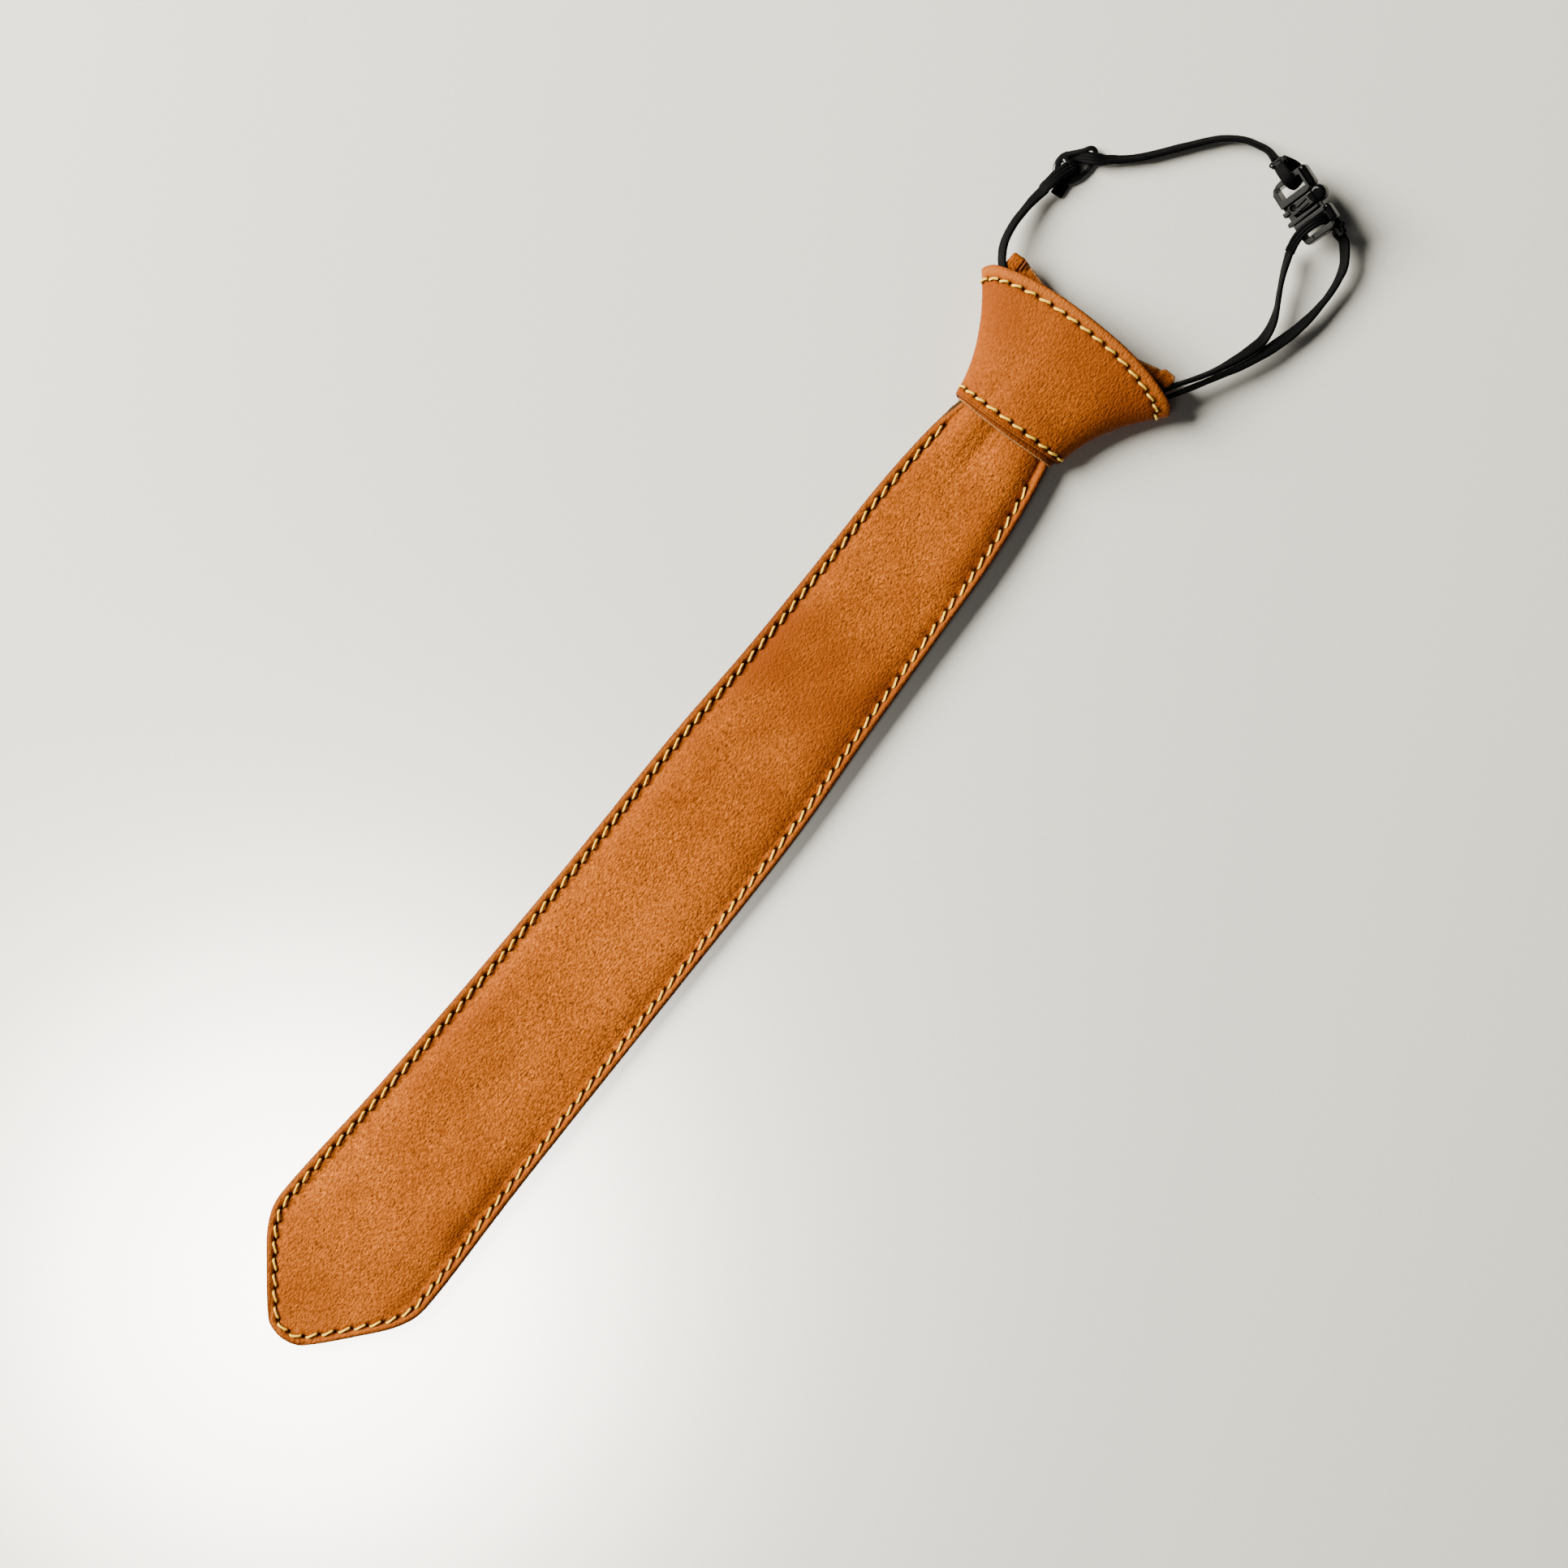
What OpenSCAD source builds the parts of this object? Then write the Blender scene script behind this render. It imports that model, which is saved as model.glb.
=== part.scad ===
// Pre-tied leather necktie on an elastic neck strap, lying face up on a flat surface.
// +X is across the tie, +Y runs from the pointed tip to the neck, +Z is up.
// The origin is under the middle of the leather, on the surface the tie lies on.

/* [Blade] */
// Length of the leather from the tip to the top of the collar band
leather_len = 321; // [310:1:335]
// Widest half-width of the blade, at its shoulders
blade_half_w = 22.8; // [20:0.2:25]
// Sideways bow of the blade as it lies
blade_bow = 2; // [0:0.5:4]
// Height of the blade's underside where it enters the knot
blade_lift = 2.8; // [1:0.1:3]
// Distance from the tip at which the blade leaves the surface
lift_start = 110; // [60:5:160]
// Thickness of the face leather
face_t = 1.3; // [1:0.1:1.6]
// Thickness of the suede lining
lining_t = 1; // [0.8:0.1:1.2]
// Greatest thickness of the padding between them
pad_t = 1.7; // [1:0.1:2]

/* [Stitching] */
// Stitch pitch
pitch = 4; // [3:0.5:6]
// Thread diameter
thread_d = 0.7; // [0.5:0.05:0.9]
// Visible length of one stitch
stitch_len = 2.8; // [2:0.1:3.4]
// Distance of the blade's stitch line from its edge
blade_margin = 2.2; // [1.8:0.1:3]
// Distance of the knot's top stitch line from its edge
top_margin = 3.1; // [2.5:0.1:4]
// Distance of the knot's bottom stitch line from its edge
bottom_margin = 2.3; // [2:0.1:3.5]

/* [Knot] */
// Distance from the tip to the knot's bottom edge, at its corners
knot_s = 284; // [280:0.5:290]
// Width of the knot at its bottom edge
knot_w_low = 30.8; // [29:0.2:33]
// Width of the knot at its top corners
knot_w_top = 59.2; // [57:0.2:62]
// Thickness of the knot at its bottom edge
knot_t_low = 11; // [10.5:0.1:12]
// Thickness of the knot at its top edge
knot_t_top = 15; // [14.5:0.1:17]
// Thickness of the wrap leather
wrap_t = 1.3; // [1:0.1:1.4]
// Thickness of the knot's leather lining
knot_lining_t = 1; // [0.8:0.1:1.1]
// Thickness of the stiff former behind the knot's front
former_t = 1.4; // [1:0.1:1.5]
// Thickness of the doubled collar band
band_t = 2.4; // [2:0.1:2.6]

/* [Elastic] */
// Width of the flat elastic
elastic_w = 3.2; // [3:0.1:3.4]
// Thickness of the flat elastic
elastic_t = 1.1; // [0.8:0.1:1.2]

/* [Slider] */
// Length of the slider
slider_len = 12.5; // [11:0.5:14]
// Width of the slider
slider_w = 8; // [7:0.5:9]
// Thickness of the slider
slider_t = 1.6; // [1.2:0.1:1.8]

/* [Clip] */
// Length of the closed clip
clip_len = 17; // [16:0.5:19]
// Width of the clip
clip_w = 11.8; // [11:0.2:13]
// Thickness of the socket half
clip_t = 4.4; // [4:0.1:5]
// Roll of the clip about its own axis as it lies
clip_roll = 30; // [10:1:35]
// Rise of the plug end as it lies
clip_rise = 6; // [0:1:8]

/* [Hidden] */

LEATHER = [0.76, 0.45, 0.2];
SUEDE = [0.34, 0.24, 0.16];
PADDING = [0.85, 0.82, 0.75];
THREAD = [0.93, 0.77, 0.42];
ELASTIC = [0.06, 0.06, 0.07];
PLASTIC = [0.12, 0.12, 0.13];
STIFFENER = [0.8, 0.8, 0.78];

// The blade's outline: distance from the tip, and the half-width there as a share of the widest.
blade_outline = [
    [0, 0.09], [1, 0.19], [3, 0.29], [6, 0.41], [12, 0.63], [18, 0.84],
    [22, 0.94], [25, 0.985], [29, 1], [36, 0.995], [60, 0.945], [90, 0.91],
    [130, 0.885], [175, 0.87], [205, 0.805], [235, 0.765], [256, 0.74],
    [270, 0.665], [280, 0.59], [283.5, 0.53], [286, 0.48], [304, 0.45]
];
tail_end = 304;
// Rows along the blade and columns across it, as shares of the half-width.
blade_rows = [
    0, 1, 3, 6, 9, 12, 15, 18, 20, 22, 25, 29, 36, 48, 60, 75, 90, 110, 130,
    150, 175, 190, 205, 220, 235, 246, 256, 263, 270, 275, 280, 283.5, 286, 295, 304
];
blade_cols = [-1, -0.84, -0.6, -0.3, 0, 0.3, 0.6, 0.84, 1];
pad_edge = 0.84;
pad_start = 9;
// Thickness of the cement line between face and lining outside the padding.
cement_t = 0.15;
// Height by which the blade's thin edges stand off the surface.
edge_rise = 0.8;

function ease(t) = let (c = min(1, max(0, t))) c * c * (3 - 2 * c);
function mix(a, b, t) = a + (b - a) * t;
function unit(v) = v / norm(v);
// A distance from the tip, as a Y coordinate.
function at_y(s) = s - leather_len / 2;

function half_width(s) = blade_half_w * lookup(s, blade_outline);
// Where the bow's two stretches meet.
bow_s = 45;
function centre_x(s) =
    s < bow_s ? -0.6 * blade_bow * (1 - s / bow_s)
              : blade_bow * sin(180 * min(1, (s - bow_s) / (knot_s - bow_s)));
function under_z(s) = blade_lift * ease((s - lift_start) / (knot_s - lift_start));
function edge_z(s, u) =
    edge_rise * max((abs(u) - pad_edge) / (1 - pad_edge), 1 - s / 3, 0);
function pad_z(s, u) =
    max(cement_t, pad_t * (1 - pow(min(1, abs(u) / pad_edge), 3)) * ease((s - pad_start + 4) / 22));

// Heights of the surfaces between the blade's layers.
under_face = function (s, u) under_z(s) + edge_z(s, u);
lining_top = function (s, u) under_face(s, u) + lining_t;
pad_top = function (s, u) lining_top(s, u) + pad_z(s, u);
face_top = function (s, u) pad_top(s, u) + face_t;

function blade_point(s, u, z) = [centre_x(s) + u * half_width(s), at_y(s), z];

// Two triangles for a four-cornered patch whose corners run clockwise seen from outside.
function patch(a, b, c, d) = [[a, b, c], [a, c, d]];
function joined(lists) = [for (l = lists) each l];

// A closed sheet between two height functions, over the given rows and columns of the blade.
module blade_sheet(rows, cols, low, high) {
    nr = len(rows);
    nc = len(cols);
    count = nr * nc;
    points = concat(
        [for (s = rows) for (u = cols) blade_point(s, u, low(s, u))],
        [for (s = rows) for (u = cols) blade_point(s, u, high(s, u))]
    );
    function lo(i, j) = i * nc + j;
    function hi(i, j) = count + i * nc + j;
    faces = joined(concat(
        [for (i = [0:nr - 2]) for (j = [0:nc - 2])
            patch(hi(i, j), hi(i + 1, j), hi(i + 1, j + 1), hi(i, j + 1))],
        [for (i = [0:nr - 2]) for (j = [0:nc - 2])
            patch(lo(i, j), lo(i, j + 1), lo(i + 1, j + 1), lo(i + 1, j))],
        [for (j = [0:nc - 2]) patch(lo(0, j), hi(0, j), hi(0, j + 1), lo(0, j + 1))],
        [for (j = [0:nc - 2])
            patch(lo(nr - 1, j), lo(nr - 1, j + 1), hi(nr - 1, j + 1), hi(nr - 1, j))],
        [for (i = [0:nr - 2]) patch(lo(i, 0), lo(i + 1, 0), hi(i + 1, 0), hi(i, 0))],
        [for (i = [0:nr - 2])
            patch(lo(i, nc - 1), hi(i, nc - 1), hi(i + 1, nc - 1), lo(i + 1, nc - 1))]
    ));
    polyhedron(points, faces);
}

pad_rows = [for (s = blade_rows) if (s >= pad_start) s];
pad_cols = [for (u = blade_cols) if (abs(u) <= pad_edge) u];

// One stitch, a short thread from a to b.
module stitch(a, b) {
    run = b - a;
    len_xy = norm([run[0], run[1]]);
    translate(a)
        rotate([0, atan2(len_xy, run[2]), atan2(run[1], run[0])])
            cylinder(h = norm(run), d = thread_d, $fn = 16);
}

// A point of the blade's stitch line on one side, at distance s from the tip.
function edge_point(s, side) = [centre_x(s) + side * half_width(s), s];
function seam_point(s, side) =
    let (
        run = unit(edge_point(s + 0.8, side) - edge_point(max(0, s - 0.8), side)),
        inward = [-side * run[1], side * run[0]],
        p = edge_point(s, side) + blade_margin * inward,
        u = (p[0] - centre_x(p[1])) / half_width(p[1])
    )
    [p[0], at_y(p[1]), face_top(p[1], u)];
// How far s moves for one millimetre along the edge.
function edge_rate(s) = 1 / norm(edge_point(s + 0.8, 1) - edge_point(s - 0.8, 1)) * 1.6;
seam_start = 2.5;
seam_end = knot_s - 4;
seam_stations = [for (s = seam_start; s < seam_end; s = s + pitch * edge_rate(s)) s];

module blade_face() {
    color(LEATHER) blade_sheet(blade_rows, blade_cols, pad_top, face_top);
}

module blade_interlining() {
    color(PADDING) blade_sheet(pad_rows, pad_cols, lining_top, pad_top);
}

module blade_lining() {
    color(SUEDE) blade_sheet(blade_rows, blade_cols, under_face, lining_top);
}

module blade_stitching() {
    color(THREAD)
        for (side = [-1, 1])
            for (s = seam_stations)
                stitch(seam_point(s, side), seam_point(s + stitch_len * edge_rate(s), side));
}

// The knot is a flared flat tube: share t runs from its bottom edge to its top edge,
// and angle a goes round it, with 90 degrees on the front and 270 on the back.
knot_steps = 28;
knot_rows = [0, 0.1, 0.22, 0.36, 0.5, 0.62, 0.74, 0.86, 1];
knot_top_mid = 34;
knot_top_corner = 29.8;
knot_low_rise = 1.3;
flare = 1.7;
fullness = 0.8;

function knot_half_w(t) = mix(knot_w_low, knot_w_top, pow(t, flare)) / 2;
function knot_thick(t) = mix(knot_t_low, knot_t_top, t);
// Distance from the tip at share t and at share q of the half-width.
function knot_s_at(t, q) =
    knot_s + mix(knot_low_rise * (1 - q * q), mix(knot_top_mid, knot_top_corner, pow(abs(q), 2.6)), t);
// A point of the tube's wall, inset from its outside.
function knot_point(t, a, inset) =
    let (
        w = knot_half_w(t) - inset,
        mid_z = 0.4 * knot_thick(t),
        rise = knot_thick(t) - mid_z - inset,
        drop = 1.2 * mid_z - inset,
        lift = pow(abs(sin(a)), fullness),
        z = sin(a) >= 0 ? mid_z + rise * lift : max(inset, mid_z - drop * lift)
    )
    [w * cos(a), at_y(knot_s_at(t, cos(a))), z];

// A closed tube wall between two insets.
module knot_tube(outside, inside) {
    nr = len(knot_rows);
    n = knot_steps;
    count = nr * n;
    function ring(inset) =
        [for (t = knot_rows) for (k = [0:n - 1]) knot_point(t, 360 * k / n, inset)];
    function o(i, k) = i * n + k % n;
    function q(i, k) = count + i * n + k % n;
    faces = joined(concat(
        [for (i = [0:nr - 2]) for (k = [0:n - 1]) patch(o(i, k), o(i, k + 1), o(i + 1, k + 1), o(i + 1, k))],
        [for (i = [0:nr - 2]) for (k = [0:n - 1]) patch(q(i, k), q(i + 1, k), q(i + 1, k + 1), q(i, k + 1))],
        [for (k = [0:n - 1]) patch(o(0, k), q(0, k), q(0, k + 1), o(0, k + 1))],
        [for (k = [0:n - 1])
            patch(o(nr - 1, k), o(nr - 1, k + 1), q(nr - 1, k + 1), q(nr - 1, k))]
    ));
    polyhedron(concat(ring(outside), ring(inside)), faces);
}

module knot_wrap() {
    color(LEATHER) knot_tube(0, wrap_t);
}

module knot_lining() {
    color(SUEDE) knot_tube(wrap_t, wrap_t + knot_lining_t);
}

// The former is a curved plate against the lining, behind the knot's front only.
former_gap = 0.1;
former_rows = [0.24, 0.36, 0.5, 0.62, 0.74, 0.8];
former_angles = [38:13:142];

module knot_former() {
    nr = len(former_rows);
    angles = [for (a = former_angles) a];
    nc = len(angles);
    count = nr * nc;
    outer = wrap_t + knot_lining_t + former_gap;
    function grid(inset) = [for (t = former_rows) for (a = angles) knot_point(t, a, inset)];
    function hi(i, j) = i * nc + j;
    function lo(i, j) = count + i * nc + j;
    faces = joined(concat(
        [for (i = [0:nr - 2]) for (j = [0:nc - 2])
            patch(hi(i, j), hi(i, j + 1), hi(i + 1, j + 1), hi(i + 1, j))],
        [for (i = [0:nr - 2]) for (j = [0:nc - 2])
            patch(lo(i, j), lo(i + 1, j), lo(i + 1, j + 1), lo(i, j + 1))],
        [for (j = [0:nc - 2]) patch(lo(0, j), lo(0, j + 1), hi(0, j + 1), hi(0, j))],
        [for (j = [0:nc - 2])
            patch(lo(nr - 1, j), hi(nr - 1, j), hi(nr - 1, j + 1), lo(nr - 1, j + 1))],
        [for (i = [0:nr - 2]) patch(lo(i, 0), hi(i, 0), hi(i + 1, 0), lo(i + 1, 0))],
        [for (i = [0:nr - 2])
            patch(lo(i, nc - 1), lo(i + 1, nc - 1), hi(i + 1, nc - 1), hi(i, nc - 1))]
    ));
    color(STIFFENER) polyhedron(concat(grid(outer), grid(outer + former_t)), faces);
}

// A row of stitches across the knot's front, at share t, with x from -reach to reach.
module front_stitches(t, reach) {
    count = floor(2 * reach / pitch);
    function on_front(x) = knot_point(t, acos(x / knot_half_w(t)), 0);
    for (k = [0:count - 1]) {
        x = (k - (count - 1) / 2) * pitch;
        stitch(on_front(x - stitch_len / 2), on_front(x + stitch_len / 2));
    }
}

module knot_top_stitching() {
    color(THREAD) front_stitches(1 - top_margin / knot_top_mid, 26);
}

module knot_bottom_stitching() {
    color(THREAD) front_stitches(bottom_margin / knot_top_mid, 14);
}

// The seam that closes the wrap at the back, sunk so that it stands clear of the surface.
back_seam_x = 4;
back_seam = [knot_s + 3, knot_s + 28];

module knot_back_stitching() {
    color(THREAD)
        for (s = [back_seam[0]:pitch:back_seam[1]])
            stitch([back_seam_x, at_y(s), thread_d / 2 + 0.05],
                   [back_seam_x, at_y(s + stitch_len), thread_d / 2 + 0.05]);
}

// The collar band lies in the knot's mouth, on the back lining, and curls up at its ends.
band_half = 23.6;
band_top = leather_len;
band_low = tail_end;
band_low_half = 15.5;
band_dip = 5.5;
band_floor = wrap_t + knot_lining_t + 0.15;
band_curl = 2;
band_cuts = 12;

function band_z(x) = band_floor + band_curl * pow(x / 24, 2);

module band_outline() {
    polygon([
        [-band_half, at_y(band_top)], [-band_half + 3, at_y(band_top - 0.8)],
        [0, at_y(band_top - band_dip)],
        [band_half - 3, at_y(band_top - 0.8)], [band_half, at_y(band_top)],
        [band_half + 0.3, at_y(band_top - 3.5)], [band_low_half, at_y(band_low)],
        [-band_low_half, at_y(band_low)], [-band_half - 0.3, at_y(band_top - 3.5)]
    ]);
}

module collar_band() {
    xs = [for (k = [-band_cuts:band_cuts]) 26 * k / band_cuts];
    color(LEATHER)
        intersection() {
            translate([0, at_y(band_top + 1), 0])
                rotate([90, 0, 0])
                    linear_extrude(height = band_top - band_low + 2)
                        polygon(concat(
                            [for (x = xs) [x, band_z(x)]],
                            [for (k = [len(xs) - 1:-1:0]) [xs[k], band_z(xs[k]) + band_t]]
                        ));
            linear_extrude(height = knot_t_top) band_outline();
        }
}

// Stitches across the collar band, near each end.
module collar_band_stitching() {
    x = band_half - 2;
    color(THREAD)
        for (side = [-1, 1])
            for (s = [band_top - 7.5:pitch:band_top - 2])
                stitch([side * x, at_y(s), band_z(x) + band_t],
                       [side * (x + 0.1), at_y(s + stitch_len), band_z(x + 0.1) + band_t]);
}

// Elastic routes: across, distance from the tip, height, and the angle of the band's width
// from upright, so 0 stands on its edge and 90 lies flat.
left_route = [
    [-12, 309.5, 6.1, 90], [-16, 309.6, 6.5, 90], [-20, 310.6, 7.2, 80],
    [-23, 313, 6.9, 40], [-25, 315.4, 6.2, 10], [-26.6, 317.6, 6, 0],
    [-28.6, 321, 5.4, 0], [-30, 326, 4.4, 0], [-30.1, 331, 3.3, 0],
    [-29.6, 335, 2.8, 20], [-29.6, 338, 3, 60], [-29.5, 341, 3.4, 90],
    [-28.6, 343.6, 3.3, 90], [-27.7, 346, 3.3, 90]
];
top_route = [
    [-27, 348, 3.3, 90], [-25.8, 350.4, 3.3, 90], [-23.6, 352.4, 3.3, 80],
    [-19.4, 354.8, 2.8, 30], [-15, 358.6, 2.2, 10], [-11, 363.8, 2, 10],
    [-7.4, 369.4, 2, 10], [-3.6, 373.6, 2.2, 10], [1, 376.8, 2.8, 10],
    [6, 378.2, 3.6, 20], [10.6, 378, 4.6, 40]
];
loop_inner_route = [
    [12, 309.5, 6.1, 90], [16, 309.3, 6.5, 90], [19.4, 309.2, 7.2, 90],
    [21.8, 310.4, 6.7, 55], [23.7, 313.6, 6.3, 10], [25.1, 317, 6.2, 0],
    [26.6, 320.4, 6.1, 0], [28.4, 324.2, 5.8, 0], [30.6, 328.4, 5.2, 0], [32.6, 333.2, 4.6, 0], [34.2, 338.6, 4.2, 0],
    [35, 344, 4, 0], [33.8, 349, 4.2, 0], [31.6, 353, 4.6, 0],
    [29.2, 357, 5.2, 0], [27.5, 361.2, 6.4, 0], [26.9, 364.6, 7.9, 20]
];
loop_outer_route = [
    [38.6, 369.8, 4.6, -50], [40.6, 366, 4.2, -20], [41.5, 361, 3.8, 0],
    [41.3, 356, 3.6, 0], [40.6, 351, 3.6, 0], [39.4, 345.6, 3.8, 0],
    [37.8, 340, 4, 0], [35.8, 334, 4.4, 0], [33.2, 328, 5, 0],
    [30.6, 322.6, 5.6, 0], [27.8, 317.6, 6, 0], [26.2, 314.8, 5.9, 0]
];
// Where the loop passes over, through and under the plug's end bar: along the clip's axis,
// across it and above it. The band's width lies across the clip there.
loop_bar_route = [
    [9.4, -3, 2.5], [8.1, -2, 2.6], [7, -1.2, 2.5], [6.1, -0.5, 1.9], [5.6, -0.2, 1],
    [5.5, 0, 0], [5.6, 0.2, -1], [6.1, 0.6, -1.9], [7, 1.3, -2.5], [8.1, 2.2, -2.6],
    [9.8, 3.4, -2.3]
];

// The clip's own frame: +X from the socket to the plug, +Z out of its front.
clip_centre = [23.1, at_y(372.5), 6.4];
clip_yaw = -20;
function turn_x(p, a) = [p[0], p[1] * cos(a) - p[2] * sin(a), p[1] * sin(a) + p[2] * cos(a)];
function turn_y(p, a) = [p[0] * cos(a) + p[2] * sin(a), p[1], -p[0] * sin(a) + p[2] * cos(a)];
function turn_z(p, a) = [p[0] * cos(a) - p[1] * sin(a), p[0] * sin(a) + p[1] * cos(a), p[2]];
function clip_point(p) =
    clip_centre + turn_z(turn_y(turn_x(p, clip_roll), -clip_rise), clip_yaw);

module in_clip() {
    translate(clip_centre) rotate([clip_roll, -clip_rise, clip_yaw]) children();
}

function on_table(route) = [for (p = route) [[p[0], at_y(p[1]), p[2]], p[3]]];
function on_clip(route) = [for (p = route) [clip_point(p), clip_point([0, 1, 0]) - clip_centre]];

// An eight-sided section of the band: across its thickness, then across its width.
band_section = [
    [1, 0.7], [0.5, 1], [-0.5, 1], [-1, 0.7], [-1, -0.7], [-0.5, -1], [0.5, -1], [1, -0.7]
];

// A flat elastic swept along a route of stations, each a point and either the band's angle
// or the direction that its width lies in.
module elastic(route) {
    n = len(route);
    m = len(band_section);
    function run(i) = unit(route[min(n - 1, i + 1)][0] - route[max(0, i - 1)][0]);
    function ring(i) =
        let (
            ahead = run(i),
            side = unit(cross(ahead, [0, 0, 1])),
            a = route[i][1],
            wide = is_list(a) ? unit(a - (a * ahead) * ahead)
                              : cross(side, ahead) * cos(a) + side * sin(a),
            thick = cross(ahead, wide)
        )
        [for (p = band_section)
            route[i][0] + thick * p[0] * elastic_t / 2 + wide * p[1] * elastic_w / 2];
    points = [for (i = [0:n - 1]) each ring(i)];
    faces = concat(
        [[for (k = [m - 1:-1:0]) k]],
        joined([for (i = [0:n - 2]) for (k = [0:m - 1])
            patch(i * m + k, i * m + (k + 1) % m, (i + 1) * m + (k + 1) % m, (i + 1) * m + k)]),
        [[for (k = [0:m - 1]) (n - 1) * m + k]]
    );
    color(ELASTIC) polyhedron(points, faces);
}

// Where the top strap ends: folded over the socket's strap bar.
top_end_route = [[-11.6, 1, 0.6], [-clip_len / 2, 0.4, 0]];

module strap_left() {
    elastic(on_table(left_route));
}

module strap_top() {
    elastic(concat(on_table(top_route), on_clip(top_end_route)));
}

module strap_loop() {
    elastic(concat(on_table(loop_inner_route), on_clip(loop_bar_route), on_table(loop_outer_route)));
}

// Bars of thread that hold the elastic's inner ends down on the collar band.
tack_x = 15;
module strap_anchor_tacks() {
    color(THREAD)
        for (side = [-1, 1])
            for (step = [0, 1.2])
                stitch([side * (tack_x - step), at_y(307.4), band_z(tack_x) + band_t + 1.35],
                       [side * (tack_x - step), at_y(311.8), band_z(tack_x) + band_t + 1.35]);
}

module rounded_rect(a, b, r) {
    square([a - 2 * r, b], center = true);
    square([a, b - 2 * r], center = true);
    for (i = [-1, 1])
        for (j = [-1, 1])
            translate([i * (a / 2 - r), j * (b / 2 - r)])
                circle(r = r, $fn = 32);
}

// The slider, a figure-8 frame with a middle bar, lying along the strap.
slider_centre = [-27.4, at_y(347), 1.2];
slider_heading = 66;
slider_wire = 1.3;
module slider() {
    hole_len = (slider_len - 3 * slider_wire - 0.4) / 2;
    color(PLASTIC)
        translate(slider_centre)
            rotate([0, 0, slider_heading])
                translate([0, 0, -slider_t / 2])
                    linear_extrude(height = slider_t)
                        difference() {
                            rounded_rect(slider_len, slider_w, 3.2);
                            for (side = [-1, 1])
                                translate([side * (hole_len + slider_wire + 0.4) / 2, 0])
                                    rounded_rect(hole_len, slider_w - 2 * slider_wire, 1.6);
                        }
}

// Sizes shared by the clip's two halves, along its own axis.
mouth_x = 0.9;
cavity_back = -3.9;
cavity_w = 8.6;
cavity_h = 2.4;
plug_gap = 0.3;
strap_slot_w = 8;
strap_slot_len = 2.6;
strap_bar = 1.5;

module clip_socket() {
    long = clip_len / 2 + mouth_x;
    color(PLASTIC)
        in_clip()
            difference() {
                translate([mouth_x - long / 2, 0, -clip_t / 2])
                    linear_extrude(height = clip_t)
                        rounded_rect(long, clip_w, 1.6);
                translate([-clip_len / 2 + strap_bar, -strap_slot_w / 2, -clip_t])
                    cube([strap_slot_len, strap_slot_w, 2 * clip_t]);
                translate([cavity_back, -cavity_w / 2, -cavity_h / 2])
                    cube([mouth_x - cavity_back + 1, cavity_w, cavity_h]);
            }
}

module clip_plug() {
    start = mouth_x + plug_gap;
    long = clip_len / 2 - start;
    prong_w = 1.9;
    prong_len = start - cavity_back - plug_gap;
    color(PLASTIC)
        in_clip() {
            difference() {
                translate([start + long / 2, 0, -clip_t / 2 + 0.7])
                    linear_extrude(height = clip_t - 1.4)
                        rounded_rect(long, clip_w - 0.4, 1.6);
                translate([clip_len / 2 - strap_bar - strap_slot_len - 0.1, -strap_slot_w / 2, -clip_t])
                    cube([strap_slot_len, strap_slot_w, 2 * clip_t]);
            }
            for (y = [-cavity_w / 2 + plug_gap, -prong_w / 2, cavity_w / 2 - plug_gap - prong_w])
                translate([cavity_back + plug_gap, y, -cavity_h / 2 + plug_gap])
                    cube([prong_len + 0.5, prong_w, cavity_h - 2 * plug_gap]);
        }
}

// Thread bound round the elastic where its end is folded back from the socket's bar.
module clip_tack() {
    color(ELASTIC)
        in_clip()
            translate([-12, 1.2, 0.7])
                rotate([0, 90, -12])
                    cylinder(h = 1.6, d = 4.2, center = true, $fn = 32);
}

blade_face();
blade_interlining();
blade_lining();
blade_stitching();
knot_wrap();
knot_lining();
knot_former();
knot_top_stitching();
knot_bottom_stitching();
knot_back_stitching();
collar_band();
collar_band_stitching();
strap_left();
strap_top();
strap_loop();
strap_anchor_tacks();
slider();
clip_socket();
clip_plug();
clip_tack();
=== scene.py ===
"""A pre-tied leather necktie on an elastic neck strap, lying face up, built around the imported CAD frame.

Lengths inside the builders are millimetres: x across the tie, s from the pointed tip, z up. They turn into
metres when a mesh is made. Y in the frame is s - LENGTH / 2.
"""

import math

import bpy
import numpy as np
import openvdb
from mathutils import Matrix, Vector


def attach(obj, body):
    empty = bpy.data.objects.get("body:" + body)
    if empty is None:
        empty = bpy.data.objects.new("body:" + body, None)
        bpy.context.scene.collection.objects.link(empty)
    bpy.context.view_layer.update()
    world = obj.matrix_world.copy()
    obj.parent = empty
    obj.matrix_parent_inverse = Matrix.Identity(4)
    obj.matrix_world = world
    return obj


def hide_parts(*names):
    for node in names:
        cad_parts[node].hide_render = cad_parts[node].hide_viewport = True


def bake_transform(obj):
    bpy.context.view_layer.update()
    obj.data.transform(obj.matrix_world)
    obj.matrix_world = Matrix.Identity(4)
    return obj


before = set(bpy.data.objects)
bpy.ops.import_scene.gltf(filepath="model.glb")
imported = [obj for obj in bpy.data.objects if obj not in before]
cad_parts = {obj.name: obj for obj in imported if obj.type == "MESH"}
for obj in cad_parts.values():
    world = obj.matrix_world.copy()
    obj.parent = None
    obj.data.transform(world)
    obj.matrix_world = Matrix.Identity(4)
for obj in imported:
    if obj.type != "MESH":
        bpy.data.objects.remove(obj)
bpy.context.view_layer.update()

MM = 0.001
LENGTH = 321.0
TIP_TO_FRAME = np.array([0, LENGTH / 2, 0])
rng = np.random.default_rng(11)


# ---------------- numbers shared with the CAD

BLADE_HALF_W = 22.8
BLADE_BOW = 2.0
BOW_S = 45.0
KNOT_S = 284.0
KNOT_SPAN = 34.0
KNOT_MEAN = 32.0
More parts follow.
